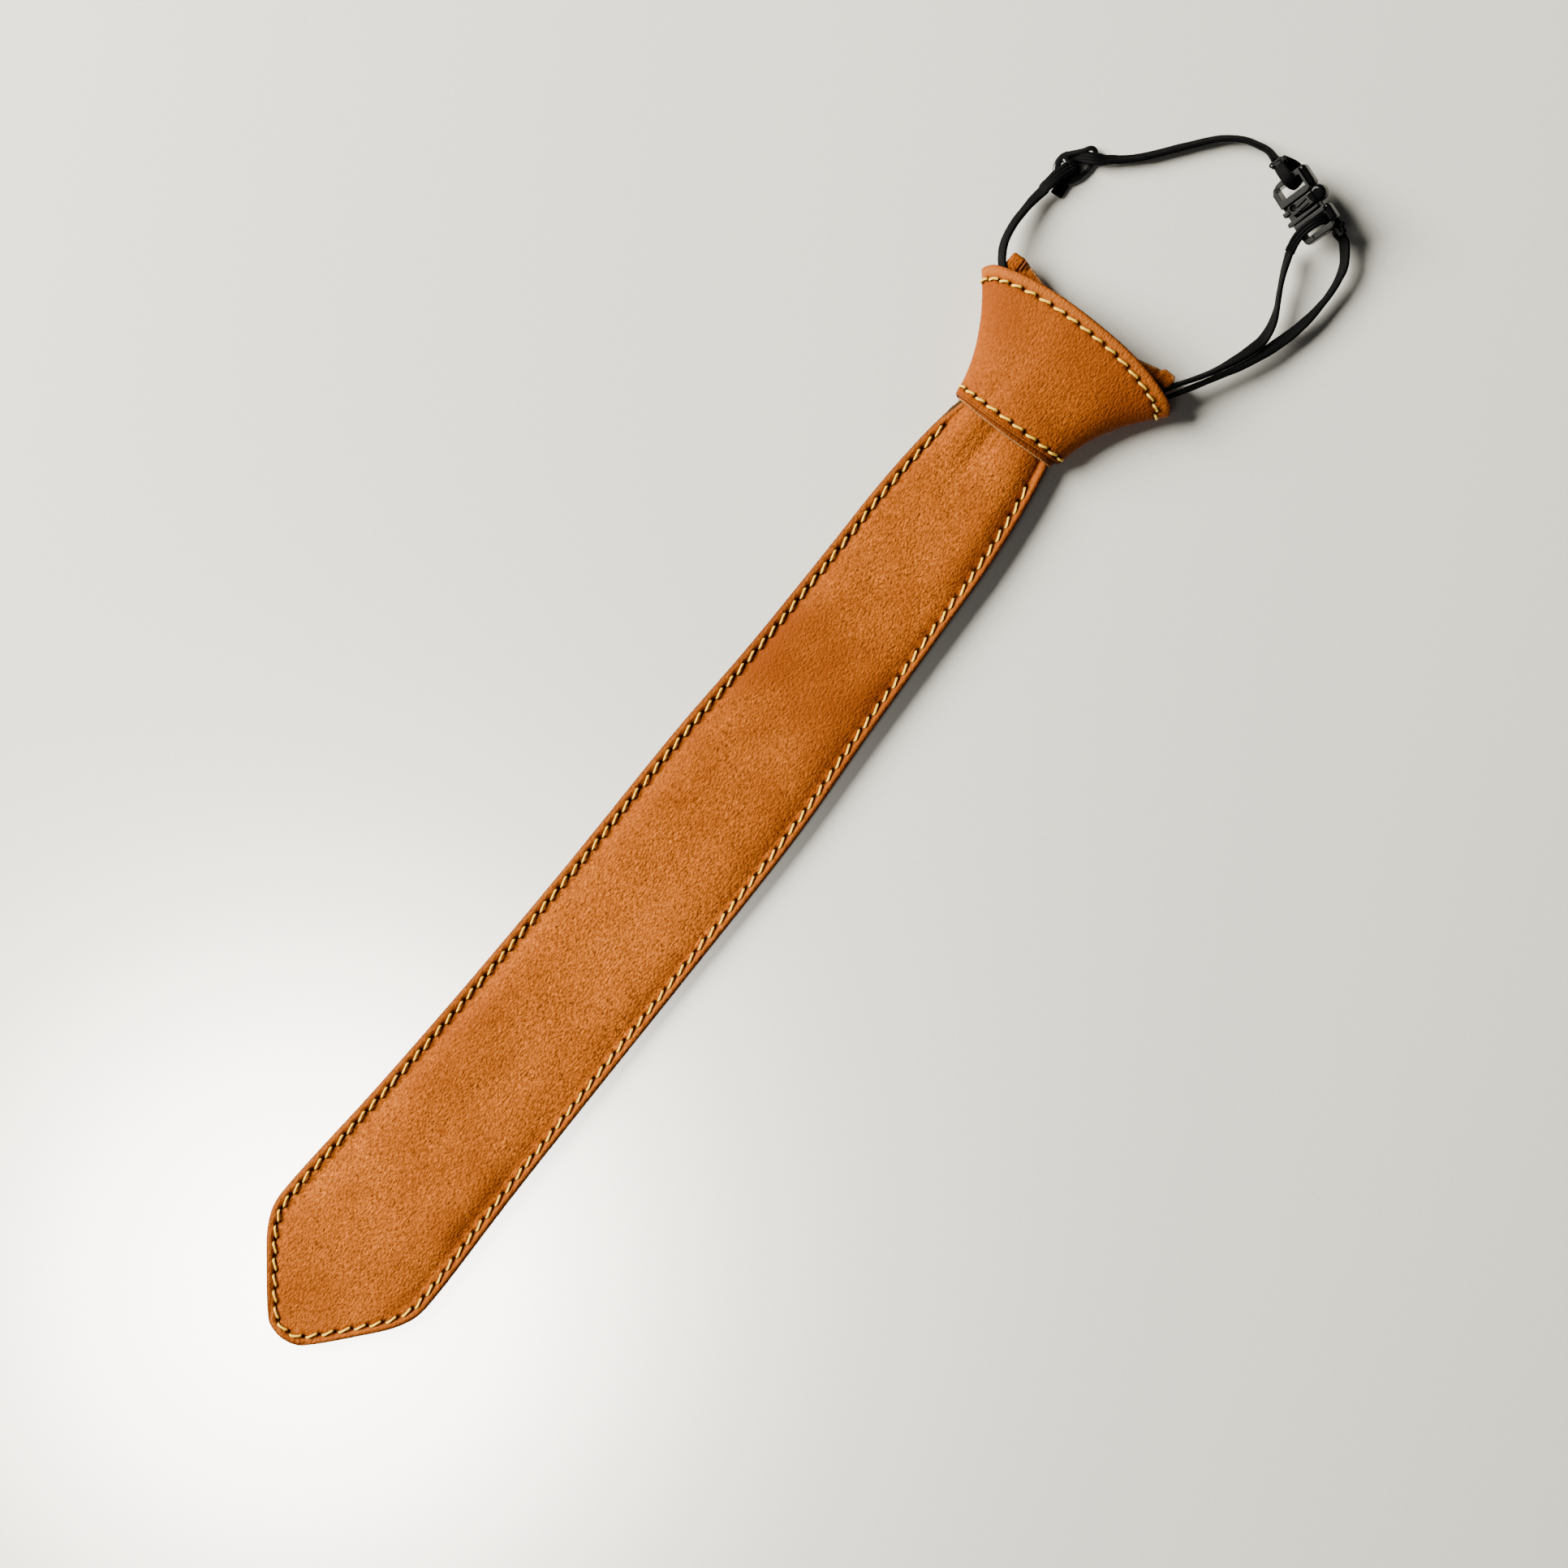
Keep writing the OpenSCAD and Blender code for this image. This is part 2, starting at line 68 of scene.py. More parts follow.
# The knot's width and thickness at its bottom and top edges.
KNOT_WIDTHS = (30.8, 59.2)
KNOT_DEPTHS = (11.0, 15.0)
BLADE_LIFT = 2.8
LIFT_START = 110.0
FACE_T = 1.3
LINING_T = 1.0
PAD_EDGE = 0.84
CEMENT_T = 0.15
EDGE_RISE = 0.8
TAIL_END = 304.0
PITCH = 4.0
# A hole's dark mark is this far on from the end of the thread before it.
MARK_AHEAD = 0.1
THREAD_R = 0.36
BLADE_MARGIN = 2.2
TOP_MARGIN = 3.1
BOTTOM_MARGIN = 2.3
WRAP_T = 1.3
KNOT_LINING_T = 1.0
BAND_T = 2.4
ELASTIC_W = 3.2
ELASTIC_T = 1.1
# Distance from the tip, and the blade's half-width there as a share of its widest.
BLADE_OUTLINE = [
    (0, 0.09), (1, 0.19), (3, 0.29), (6, 0.41), (12, 0.63), (18, 0.84), (22, 0.94), (25, 0.985),
    (29, 1), (36, 0.995), (60, 0.945), (90, 0.91), (130, 0.885), (175, 0.87), (205, 0.805),
    (235, 0.765), (256, 0.74), (270, 0.69), (280, 0.63), (283.5, 0.60), (288, 0.54), (304, 0.45),
]


# ---------------- small maths

def share(x):
    """x held between 0 and 1."""
    return np.clip(x, 0, 1)


def ease(t):
    c = share(t)
    return c * c * (3 - 2 * c)


def mix(a, b, t):
    return a + (b - a) * t


def bump(x, width):
    """A bell of height 1 at x = 0."""
    return np.exp(-((x / width) ** 2))


def unit(v):
    v = np.asarray(v, float)
    return v / np.maximum(np.linalg.norm(v, axis=-1, keepdims=True), 1e-12)


def smooth_table(x, table):
    """Monotone cubic through a table of (x, y)."""
    xp, yp = np.array(table, float).T
    h, d = np.diff(xp), np.diff(yp) / np.diff(xp)
    m = np.concatenate([[d[0]], (d[:-1] + d[1:]) / 2, [d[-1]]])
    flat = np.concatenate([[False], d[:-1] * d[1:] <= 0, [False]])
    m[flat] = 0
    limit = 3 * np.minimum(np.abs(np.concatenate([[d[0]], d])), np.abs(np.concatenate([d, [d[-1]]])))
    m = np.clip(m, -limit, limit)
    x = np.clip(np.asarray(x, float), xp[0], xp[-1])
    k = np.clip(np.searchsorted(xp, x, side="right") - 1, 0, len(h) - 1)
    t = (x - xp[k]) / h[k]
    a, b = (1 + 2 * t) * (1 - t) ** 2, t * (1 - t) ** 2
    return a * yp[k] + b * h[k] * m[k] + t * t * (3 - 2 * t) * yp[k + 1] + t * t * (t - 1) * h[k] * m[k + 1]


def make_waves(count, shortest, longest, stretch=1.0):
    """Seeded plane waves that stand for slow unevenness: rows of (kx, ky, phase, weight)."""
    length = rng.uniform(shortest, longest, count)
    heading = rng.uniform(0, 2 * math.pi, count)
    k = 2 * math.pi / length
    return np.stack([k * np.cos(heading), k * np.sin(heading) / stretch,
                     rng.uniform(0, 2 * math.pi, count), np.full(count, count ** -0.5)], axis=1)


def waves(x, s, rows):
    total = np.zeros(np.broadcast(x, s).shape)
    for kx, ky, phase, weight in rows:
        total += weight * np.cos(kx * x + ky * s + phase)
    return total


def spline(points, step):
    """Points every step along a Catmull-Rom spline, with any extra columns carried along."""
    p = np.array(points, float)
    p = np.vstack([2 * p[0] - p[1], p, 2 * p[-1] - p[-2]])
    dense = []
    for k in range(1, len(p) - 2):
        t = np.linspace(0, 1, 40, endpoint=False)[:, None]
        a, b, c, d = p[k - 1], p[k], p[k + 1], p[k + 2]
        dense.append(0.5 * (2 * b + (c - a) * t + (2 * a - 5 * b + 4 * c - d) * t ** 2
                            + (3 * b - 3 * c + d - a) * t ** 3))
    dense = np.vstack(dense + [p[-2:-1]])
    run = np.concatenate([[0], np.cumsum(np.linalg.norm(np.diff(dense[:, :3], axis=0), axis=1))])
    at = np.linspace(0, run[-1], max(2, int(round(run[-1] / step)) + 1))
    return np.stack([np.interp(at, run, dense[:, j]) for j in range(dense.shape[1])], axis=1), at


# ---------------- meshes

def show(thing):
    bpy.context.scene.collection.objects.link(thing)


class Shell:
    """Vertices in millimetres, faces, and one float per vertex for each named attribute."""

    def __init__(self):
        self.points, self.faces, self.values, self.count = [], [], {}, 0

    def add(self, points, faces, **values):
        points = np.asarray(points, float).reshape(-1, 3)
        for name in values:
            self.values.setdefault(name, [np.zeros(self.count)])
        for name, held in self.values.items():
            held.append(np.broadcast_to(np.asarray(values.get(name, 0.0), float).ravel(),
                                        (len(points),)).copy())
        self.faces += [tuple(int(i) + self.count for i in f) for f in faces]
        self.points.append(points)
        self.count += len(points)

    def build(self, name, material, body, replaces=(), in_frame=True):
        """Makes the piece. Points whose second number is still s, from the tip, move into the frame."""
        points = np.concatenate(self.points)
        if not in_frame:
            points = points - TIP_TO_FRAME
        mesh = bpy.data.meshes.new(name)
        mesh.from_pydata((points * MM).tolist(), [], self.faces)
        mesh.update()
        for key, held in self.values.items():
            layer = mesh.attributes.new(key, "FLOAT", "POINT")
            layer.data.foreach_set("value", np.concatenate(held).astype(np.float32))
        mesh.shade_smooth()
        piece = bpy.data.objects.new(name, mesh)
        show(piece)
        mesh.materials.append(material)
        if body:
            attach(piece, body)
        if replaces:
            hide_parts(*replaces)
        return piece


def grid(rows, cols, wrap=False, start=0, flip=False):
    """Quads over rows x cols points; wrap joins the last column to the first."""
    i, j = np.meshgrid(np.arange(rows - 1), np.arange(cols if wrap else cols - 1), indexing="ij")
    k = (j + 1) % cols
    corners = [i * cols + j, i * cols + k, (i + 1) * cols + k, (i + 1) * cols + j]
    f = np.stack(corners, axis=-1).reshape(-1, 4) + start
    return (f[:, ::-1] if flip else f).tolist()


def tube_faces(steps, sides):
    """The quads of a swept ring and a cap at each end."""
    last = (steps - 1) * sides
    caps = [list(range(sides))[::-1], list(range(last, last + sides))]
    return grid(steps, sides, wrap=True) + caps


def tube(path, ring, first_normal):
    """Sweeps ring, an array (steps or 1, sides, 2) of offsets, along path; returns points and faces."""
    path = np.asarray(path, float)
    n = len(path)
    ahead = unit(np.gradient(path, axis=0))
    normal = np.asarray(first_normal, float)
    normals = []
    for a in ahead:
        normal = normal - a * (normal @ a)
        normal = normal / max(np.linalg.norm(normal), 1e-9)
        normals.append(normal)
    normals = np.array(normals)
    sides = np.cross(ahead, normals)
    ring = np.broadcast_to(ring, (n,) + ring.shape[1:])
    points = path[:, None] + sides[:, None] * ring[..., :1] + normals[:, None] * ring[..., 1:]
    return points.reshape(-1, 3), tube_faces(n, ring.shape[1])


# ---------------- materials

class Nodes:
    """A new material, and short calls for its node tree. Sizes are in millimetres."""

    def __init__(self, name):
        self.material = bpy.data.materials.new(name)
        self.material.use_nodes = True
        self.tree = self.material.node_tree
        self.place = self.add("ShaderNodeTexCoord").outputs["Object"]

    def add(self, kind, **settings):
        node = self.tree.nodes.new(kind)
        for key, value in settings.items():
            setattr(node, key, value)
        return node

    def link(self, value, socket):
        if isinstance(value, bpy.types.NodeSocket):
            self.tree.links.new(value, socket)
        elif value is not None:
            socket.default_value = value

    def set(self, node, **values):
        """Sets inputs by name, with _ for a space, and returns the outputs."""
        for key, value in values.items():
            self.link(value, node.inputs[key.replace("_", " ")])
        return node.outputs

    def finish(self, colour, rough, specular, normal):
        """Fills the shader's sockets, each with a number or another node's output."""
        shader = self.tree.nodes["Principled BSDF"]
        self.set(shader, Base_Color=colour, Roughness=rough, Normal=normal)
        shader.inputs["Specular IOR Level"].default_value = specular
        return self.material

    def value(self, name):
        return self.add("ShaderNodeAttribute", attribute_name=name).outputs["Fac"]

    def tint(self, colour, name, other):
        """Mixes in another colour where the mesh's named value is high."""
        return self.mix(self.value(name), colour, other)

    def cloudy(self, noise, low, high, dark, light):
        """Two colours by a noise, from all dark below low to all light above high."""
        return self.mix(self.ramp(noise, (low, 0.0), (high, 1.0)), dark, light)

    def scaled(self, x, y, z):
        return self.set(self.add("ShaderNodeMapping"), Scale=(x, y, z), Vector=self.place)["Vector"]

    def noise(self, size, detail=3.0, rough=0.55, vector=None, distort=0.0):
        return self.set(self.add("ShaderNodeTexNoise"), Vector=vector or self.place,
                        Scale=1.0 / (size * MM), Detail=detail, Roughness=rough, Distortion=distort)["Fac"]

    def cells(self, size, vector=None, feature="F1"):
        return self.set(self.add("ShaderNodeTexVoronoi", feature=feature), Vector=vector or self.place,
                        Scale=1.0 / (size * MM))["Distance"]

    def ramp(self, value, *stops):
        node = self.add("ShaderNodeValToRGB")
        elements = node.color_ramp.elements
        for k, (at, level) in enumerate(stops):
            element = elements[k] if k < 2 else elements.new(at)
            element.position = at
            element.color = (level, level, level, 1) if isinstance(level, (int, float)) else (*level, 1)
        self.link(value, node.inputs["Fac"])
        return node.outputs["Color"]

    def mix(self, amount, a, b, blend="MIX"):
        node = self.add("ShaderNodeMix", data_type="RGBA", blend_type=blend)
        self.link(amount, node.inputs[0])
        self.link(a if isinstance(a, bpy.types.NodeSocket) else (*a, 1), node.inputs[6])
        self.link(b if isinstance(b, bpy.types.NodeSocket) else (*b, 1), node.inputs[7])
        return node.outputs[2]

    def math(self, operation, a, b=None):
        node = self.add("ShaderNodeMath", operation=operation)
        self.link(a, node.inputs[0])
        self.link(b, node.inputs[1])
        return node.outputs[0]

    def bump(self, height, distance, strength=1.0, below=None):
        return self.set(self.add("ShaderNodeBump"), Distance=distance * MM, Strength=strength,
                        Height=height, Normal=below)["Normal"]


def tan_leather():
    """Vegetable-tanned leather: pebbled grain, cloudy colour, pores, a burnished edge, awl holes in painted
    shade.
    """
    n = Nodes("tan_leather")
    cloud = n.noise(26, 4, 0.6, n.scaled(1.0, 0.7, 1.0), 0.4)
    mottle = n.noise(4.2, 4, 0.65)
    grain_place = n.scaled(1.25, 0.85, 1.0)
    grain = n.noise(0.85, 5, 0.66, grain_place, 0.5)
    pebble = n.cells(0.62, grain_place, "SMOOTH_F1")
    pore = n.ramp(n.cells(1.7), (0.0, 1.0), (0.13, 0.0))
    colour = n.cloudy(cloud, 0.3, 0.7, (0.290, 0.0710, 0.0062), (0.372, 0.0985, 0.0105))
    colour = n.mix(n.ramp(mottle, (0.3, 0.0), (0.72, 0.25)), colour, (0.250, 0.0560, 0.0040))
    colour = n.mix(n.ramp(grain, (0.52, 0.0), (0.74, 0.35)), colour, (0.420, 0.128, 0.0170))
    fleck = n.noise(0.62, 3, 0.6, n.scaled(1.5, 0.8, 1.0), 0.8)
    coarse = n.math("MULTIPLY", n.math("SUBTRACT", grain, 0.5), 2.3)
    fine = n.math("MULTIPLY", n.math("SUBTRACT", fleck, 0.5), 2.9)
    speckle = n.math("ADD", n.math("ADD", coarse, fine), 1.0)
    colour = n.mix(1.0, colour, speckle, "MULTIPLY")
    colour = n.mix(n.math("MULTIPLY", pore, 0.35), colour, (0.150, 0.032, 0.003))
    # Darkening value: random cloudy tone mixed with painted shade in grooves, round holes and on shaded
    # sides.
    colour = n.tint(colour, "tone", (0.178, 0.0375, 0.0030))
    # Painted highlight along the raised lip inside the edges.
    colour = n.tint(colour, "lip", (0.330, 0.0900, 0.0130))
    cut_edge = n.cloudy(n.noise(0.5, 4), 0.35, 0.65, (0.220, 0.105, 0.035), (0.520, 0.275, 0.105))
    colour = n.tint(colour, "raw", cut_edge)
    # Dark burnished edges; on the knot's lining strip this value paints shade instead.
    colour = n.tint(colour, "rim", (0.050, 0.0130, 0.0030))
    # Painted shade in the awl holes and in the band's slits.
    colour = n.tint(colour, "hole", (0.012, 0.0032, 0.0012))
    folds = n.noise(2.6, 3, 0.5, n.scaled(1.0, 0.55, 1.0), 1.2)
    crease = n.bump(n.ramp(folds, (0.44, 1.0), (0.5, 0.0), (0.56, 1.0)), 0.045, 0.55)
    height = n.mix(0.5, n.ramp(pebble, (0.0, 1.0), (0.75, 0.0)), grain)
    rough = n.ramp(grain, (0.3, 0.68), (0.7, 0.52))
    return n.finish(colour, rough, 0.03, n.bump(height, 0.36, 0.9, crease))


def suede():
    """The fleshy side of leather: short brown nap with lighter rubbed fibres."""
    n = Nodes("suede")
    nap = n.noise(0.35, 6, 0.75)
    colour = n.cloudy(n.noise(9, 4), 0.35, 0.65, (0.080, 0.038, 0.016), (0.135, 0.070, 0.030))
    colour = n.mix(n.ramp(nap, (0.5, 0.0), (0.72, 0.65)), colour, (0.235, 0.150, 0.080))
    colour = n.tint(colour, "rim", (0.085, 0.042, 0.016))
    shader = n.tree.nodes["Principled BSDF"]
    shader.inputs["Sheen Weight"].default_value = 0.04
    shader.inputs["Sheen Roughness"].default_value = 0.5
    return n.finish(colour, 0.95, 0.03, n.bump(nap, 0.25, 0.9))


def thread(name, dark, light, sunk, rough):
    """Waxed twisted thread. The twist is in the mesh; sunk paints shade on the ends that dive into the
    leather.
    """
    n = Nodes(name)
    fibre = n.noise(0.12, 4, 0.7)
    colour = n.cloudy(fibre, 0.35, 0.65, dark, light)
    # Painted shade in the grooves of the twist.
    colour = n.tint(colour, "groove", tuple(0.45 * c for c in dark))
    colour = n.tint(colour, "sunk", sunk)
    return n.finish(colour, rough, 0.15, n.bump(fibre, 0.03, 0.6))


def felt():
    """Needled interlining, pale and fibrous."""
    n = Nodes("felt")
    fibre = n.noise(0.9, 6, 0.8, n.scaled(1.0, 0.35, 1.0), 1.5)
    colour = n.mix(fibre, (0.46, 0.42, 0.34), (0.78, 0.74, 0.64))
    return n.finish(colour, 0.95, 0.5, n.bump(fibre, 0.3, 0.8))


def fibreboard():
    """The knot's stiff former: pressed grey board."""
    n = Nodes("fibreboard")
    fleck = n.noise(0.6, 5, 0.7)
    colour = n.cloudy(fleck, 0.4, 0.7, (0.36, 0.35, 0.33), (0.6, 0.59, 0.56))
    return n.finish(colour, 0.8, 0.5, n.bump(fleck, 0.08, 0.6))


def elastic():
    """Black braided elastic: the ribs are in the mesh, and the yarn crosses them in short slants."""
    n = Nodes("elastic")
    slant = n.math("MULTIPLY", n.value("run"), 1 / 0.42)
    slant = n.math("ADD", slant, n.math("MULTIPLY", n.value("across"), 0.9))
    yarn = n.math("ABSOLUTE", n.math("SINE", n.math("MULTIPLY", slant, math.pi)))
    fleck = n.noise(0.25, 4, 0.7)
    colour = n.cloudy(yarn, 0.1, 0.9, (0.0010, 0.0010, 0.0012), (0.0028, 0.0028, 0.0033))
    colour = n.mix(n.ramp(fleck, (0.55, 0.0), (0.8, 0.5)), colour, (0.009, 0.009, 0.010))
    return n.finish(colour, 0.44, 0.022, n.bump(fleck, 0.03, 0.5, n.bump(yarn, 0.05, 0.7)))


def gloss_plastic():
    """The slider's polished plastic, with faint flow clouds."""
    n = Nodes("gloss_plastic")
    cloud = n.noise(3.5, 4, 0.6)
    colour = n.cloudy(cloud, 0.35, 0.7, (0.004, 0.004, 0.0045), (0.009, 0.009, 0.010))
    rough = n.ramp(cloud, (0.3, 0.10), (0.7, 0.2))
    return n.finish(colour, rough, 0.35, n.bump(n.noise(0.14, 3, 0.6), 0.01, 0.5))


def clip_plastic():
    """The clip's plastic: spark-eroded satin on its flat faces and polished on its rounded side walls."""
    n = Nodes("clip_plastic")
    satin = n.ramp(n.value("satin"), (0.25, 0.0), (0.75, 1.0))
    cloud = n.noise(3.0, 4, 0.6)
    grey = n.cloudy(cloud, 0.35, 0.7, (0.0080, 0.0080, 0.0085), (0.0118, 0.0118, 0.0124))
    rough = n.math("ADD", n.math("MULTIPLY", satin, 0.38), n.math("MULTIPLY", cloud, 0.12))
    height = n.mix(satin, (0.5, 0.5, 0.5), n.noise(0.12, 3, 0.6))
    return n.finish(n.mix(satin, (0.002, 0.002, 0.0023), grey), n.math("ADD", rough, 0.05), 0.10,
                    n.bump(height, 0.04, 0.6))


def floor_paint():
    """A pale matt table top with a faint metallic speckle."""
    n = Nodes("floor_paint")
    speck = n.noise(0.9, 3, 0.6)
    colour = n.cloudy(speck, 0.3, 0.7, (0.745, 0.736, 0.706), (0.795, 0.786, 0.756))
    return n.finish(colour, 0.25, 1.0, n.bump(speck, 0.006, 0.3))


# ---------------- camera, light and floor

CAMERA_HEIGHT = 0.8
CAMERA_TURN = math.radians(38.4)
FRAME_SIDE = 0.3864
VIEW_CENTRE = Vector((0.0112, 0.0229, 0.0))
FLOOR_HALF = 9.0
FLOOR_Z = -0.00015
IMAGE_RIGHT = Vector((math.cos(CAMERA_TURN), math.sin(CAMERA_TURN), 0.0))
IMAGE_UP = Vector((-math.sin(CAMERA_TURN), math.cos(CAMERA_TURN), 0.0))


def make_camera():
    data = bpy.data.cameras.new("camera")
    data.sensor_width = 36.0
    data.lens = 36.0 * CAMERA_HEIGHT / FRAME_SIDE
    data.clip_start, data.clip_end = 0.01, 20.0
    camera = bpy.data.objects.new("camera", data)
    camera.location = VIEW_CENTRE + Vector((0, 0, CAMERA_HEIGHT))
    camera.rotation_euler = (0.0, 0.0, CAMERA_TURN)
    show(camera)
    bpy.context.scene.camera = camera


def area_light(name, right, up, height, size, power, colour=(1, 1, 1), aim=(0.0, 0.0)):
    """A softbox, in metres right of and above the picture's middle, turned to aim at the floor."""
    data = bpy.data.lights.new(name, "AREA")
    data.shape = "DISK"
    data.size = size
    data.energy = power
    data.color = colour
    light = bpy.data.objects.new(name, data)
    light.location = VIEW_CENTRE + IMAGE_RIGHT * right + IMAGE_UP * up + Vector((0, 0, height))
    target = VIEW_CENTRE + IMAGE_RIGHT * aim[0] + IMAGE_UP * aim[1]
    light.rotation_mode = "QUATERNION"
    light.rotation_quaternion = (target - light.location).to_track_quat("-Z", "Y")
    show(light)
    return light


def make_stage():
    mesh = bpy.data.meshes.new("floor")
    corners = [(-1, -1, 0), (1, -1, 0), (1, 1, 0), (-1, 1, 0)]
    mesh.from_pydata([Vector(c) * FLOOR_HALF for c in corners], [], [(0, 1, 2, 3)])
    floor = bpy.data.objects.new("floor", mesh)
    floor.location = (0.0, 0.0, FLOOR_Z)
    mesh.materials.append(floor_paint())
    show(floor)
    world = bpy.data.worlds.new("world")
    bpy.context.scene.world = world
    world.use_nodes = True
    background = world.node_tree.nodes["Background"]
    background.inputs["Color"].default_value = (1.0, 0.985, 0.955, 1)
    background.inputs["Strength"].default_value = 0.03
    area_light("key", -1.20, 0.50, 0.88, 1.12, 124.0, (1.0, 0.965, 0.84))
    glare = area_light("glare", -0.28, -0.29, 1.10, 0.30, 42.0, (1.0, 0.94, 0.83), aim=(-0.13, -0.13))
    glare.visible_diffuse = False
    only_floor = bpy.data.collections.new("glare_falls_on")
    only_floor.objects.link(floor)
    glare.light_linking.receiver_collection = only_floor


make_camera()
make_stage()

MATERIALS = {
    "tan": tan_leather(),
    "suede": suede(),
    "gold": thread("gold_thread", (0.78, 0.43, 0.030), (1.0, 0.68, 0.085), (0.060, 0.028, 0.005), 0.45),
    "sunk": thread("sunk_thread", (0.105, 0.026, 0.003), (0.150, 0.040, 0.005), (0.03, 0.01, 0.002), 0.7),
    "black": thread("black_thread", (0.004, 0.004, 0.0045), (0.012, 0.012, 0.013), (0.002,) * 3, 0.5),
    "felt": felt(),
    "board": fibreboard(),
    "elastic": elastic(),
    "gloss": gloss_plastic(),
    "clip": clip_plastic(),
}


# ---------------- the blade's shape

def half_w(s):
    s = np.asarray(s, float)
    w = BLADE_HALF_W * smooth_table(s, BLADE_OUTLINE)
    tip = 4.33 * np.sqrt(np.maximum(s, 0))
    return np.where(s < 1, np.minimum(w, tip), w)


def centre_x(s):
    s = np.asarray(s, float)
    bow = BLADE_BOW * np.sin(math.pi * share((s - BOW_S) / (KNOT_S - BOW_S)))
    return np.where(s < BOW_S, -0.6 * BLADE_BOW * (1 - s / BOW_S), bow)


def under_z(s):
    return BLADE_LIFT * ease((s - LIFT_START) / (KNOT_S - LIFT_START))


def edge_z(s, u):
    return EDGE_RISE * np.maximum(np.maximum((np.abs(u) - PAD_EDGE) / (1 - PAD_EDGE), 1 - s / 3), 0)


def pad_z(s, u):
    crown = 1.35 * (1 - np.minimum(1, np.abs(u) / PAD_EDGE) ** 5) * ease((s - 5) / 22)
    return np.maximum(CEMENT_T, crown)


def edge_line(side, fray=0.0):
    """The blade's edge on one side as (x, s) points; fray makes a cut edge uneven."""
    s = np.concatenate([[0.0, 0.01], np.arange(0.05, 1, 0.05), np.arange(1, TAIL_END + 0.01, 0.25)])
    x = centre_x(s) + side * half_w(s)
    if fray:
        x = x + side * fray * np.interp(s, np.arange(0, 310, 0.8), rng.uniform(-1, 0.4, 388))
    return np.stack([x, s], axis=1)


def distance_all(points, line):
    """Distance from (n, 2) points to the nearest of the line's segments."""
    a, ab = line[:-1], np.diff(line, axis=0)
    ap = points[:, None] - a[None]
    t = share((ap * ab).sum(-1) / np.maximum((ab * ab).sum(-1), 1e-12))
    return np.linalg.norm(ap - t[..., None] * ab, axis=-1).min(1)


def distance_to_line(points, line, reach=14.0):
    """The same for points that share one s, looking only at the line within reach."""
    part = line[np.abs(line[:, 1] - points[0, 1]) < reach]
    if len(part) < 2:
        return np.full(len(points), reach)
    return np.minimum(distance_all(points, part), reach)


NEAR_EDGE = np.array([0, 0.08, 0.2, 0.4, 0.65, 0.95, 1.25, 1.5, 1.7, 1.9, 2.1, 2.3, 2.5, 2.7, 2.95, 3.25,
                      3.6, 4.1, 4.7])


def blade_grid(s_rows, middle, fray=0.0, near=NEAR_EDGE):
    """x, s and edge distance for rows of the blade, with columns crowded near both edges."""
    lines = [edge_line(-1, fray), edge_line(1, fray)]
    x = np.zeros((len(s_rows), 2 * len(near) + middle))
    d = np.zeros_like(x)
    for i, s in enumerate(s_rows):
        low, high = (np.interp(s, line[:, 1], line[:, 0]) for line in lines)
        inner = near * min(1, (high - low) / 18)
        between = np.linspace(low + inner[-1], high - inner[-1], middle + 2)[1:-1]
        x[i] = np.concatenate([low + inner, between, (high - inner)[::-1]])
        row = np.stack([x[i], np.full(x.shape[1], s)], axis=1)
        d[i] = np.minimum(distance_to_line(row, lines[0]), distance_to_line(row, lines[1]))
    return x, np.broadcast_to(s_rows[:, None], x.shape).copy(), d


def rounded(d, radius):
    """How far a rounded rim has dropped at distance d inside its edge."""
    c = np.clip(radius - d, 0, radius)
    return radius - np.sqrt(radius ** 2 - c ** 2)


SWELL = make_waves(7, 38, 75, 1.3)
RIPPLE = make_waves(9, 9, 19, 1.0)
WRINKLE = make_waves(16, 1.9, 4.2, 0.6)


def blade_top(x, s, d):
    """Height of the face's top before its rim is rounded, and without the seam's groove."""
    u = (x - centre_x(s)) / half_w(s)
    inside = ease((d - 2.5) / 5)
    z = under_z(s) + edge_z(s, u) + LINING_T + pad_z(s, u) + FACE_T
    z += 0.26 * inside * waves(x, s, SWELL) + 0.045 * inside * waves(x, s, RIPPLE)
    loose = bump(s - 152, 34) * ease((d - 3) / 5)
    z += 0.040 * loose * waves(x, s, WRINKLE)
    gather = ease((s - 258) / 24)
    z += gather * (0.62 * bump(x + 7.5, 4.8) + 0.5 * bump(x - 5.2, 5.4) - 0.55 * bump(x + 2.4, 2.8))
    z += 0.09 * gather * np.cos(2 * math.pi * (x + 1) / 2.7) * bump(x + 2.5, 6) * bump(s - 284, 14)
    turned = ease((s - 270) / 14)
    return z - turned * 2.4 * share(1 - (x - centre_x(s) + half_w(s)) / 6) ** 2


class Path:
    """A line of stitches by distance run: points, the side a slug's end leans to, the surface normal."""

    def __init__(self, points, sides, normals):
        step = np.linalg.norm(np.diff(points, axis=0), axis=1)
        self.run = np.concatenate([[0], np.cumsum(step)])
        self.points, self.sides, self.normals = points, sides, normals

    def at(self, run):
        pick = [np.stack([np.interp(run, self.run, v[:, k]) for k in range(3)], axis=-1)
                for v in (self.points, self.sides, self.normals)]
        return pick[0], unit(pick[1]), unit(pick[2])


def blade_seam():
    """The seam round the blade, from the knot down the left side, round the tip and up the right side."""
    left, right = edge_line(-1)[::-1], edge_line(1)[1:]
    line = np.concatenate([left, right])
    line = line[line[:, 1] <= 286]
    fine, _ = spline(np.column_stack([line[::4], np.zeros(len(line[::4]))]), 0.25)
    ahead = unit(np.gradient(fine[:, :2], axis=0))
    inward = np.stack([-ahead[:, 1], ahead[:, 0]], axis=1)
    at = fine[:, :2] + BLADE_MARGIN * inward
    z = blade_top(at[:, 0], at[:, 1], np.full(len(at), BLADE_MARGIN))
    points = np.column_stack([at, z])
    return Path(points, np.column_stack([inward, np.zeros(len(at))]), np.tile([0, 0, 1.0], (len(at), 1)))


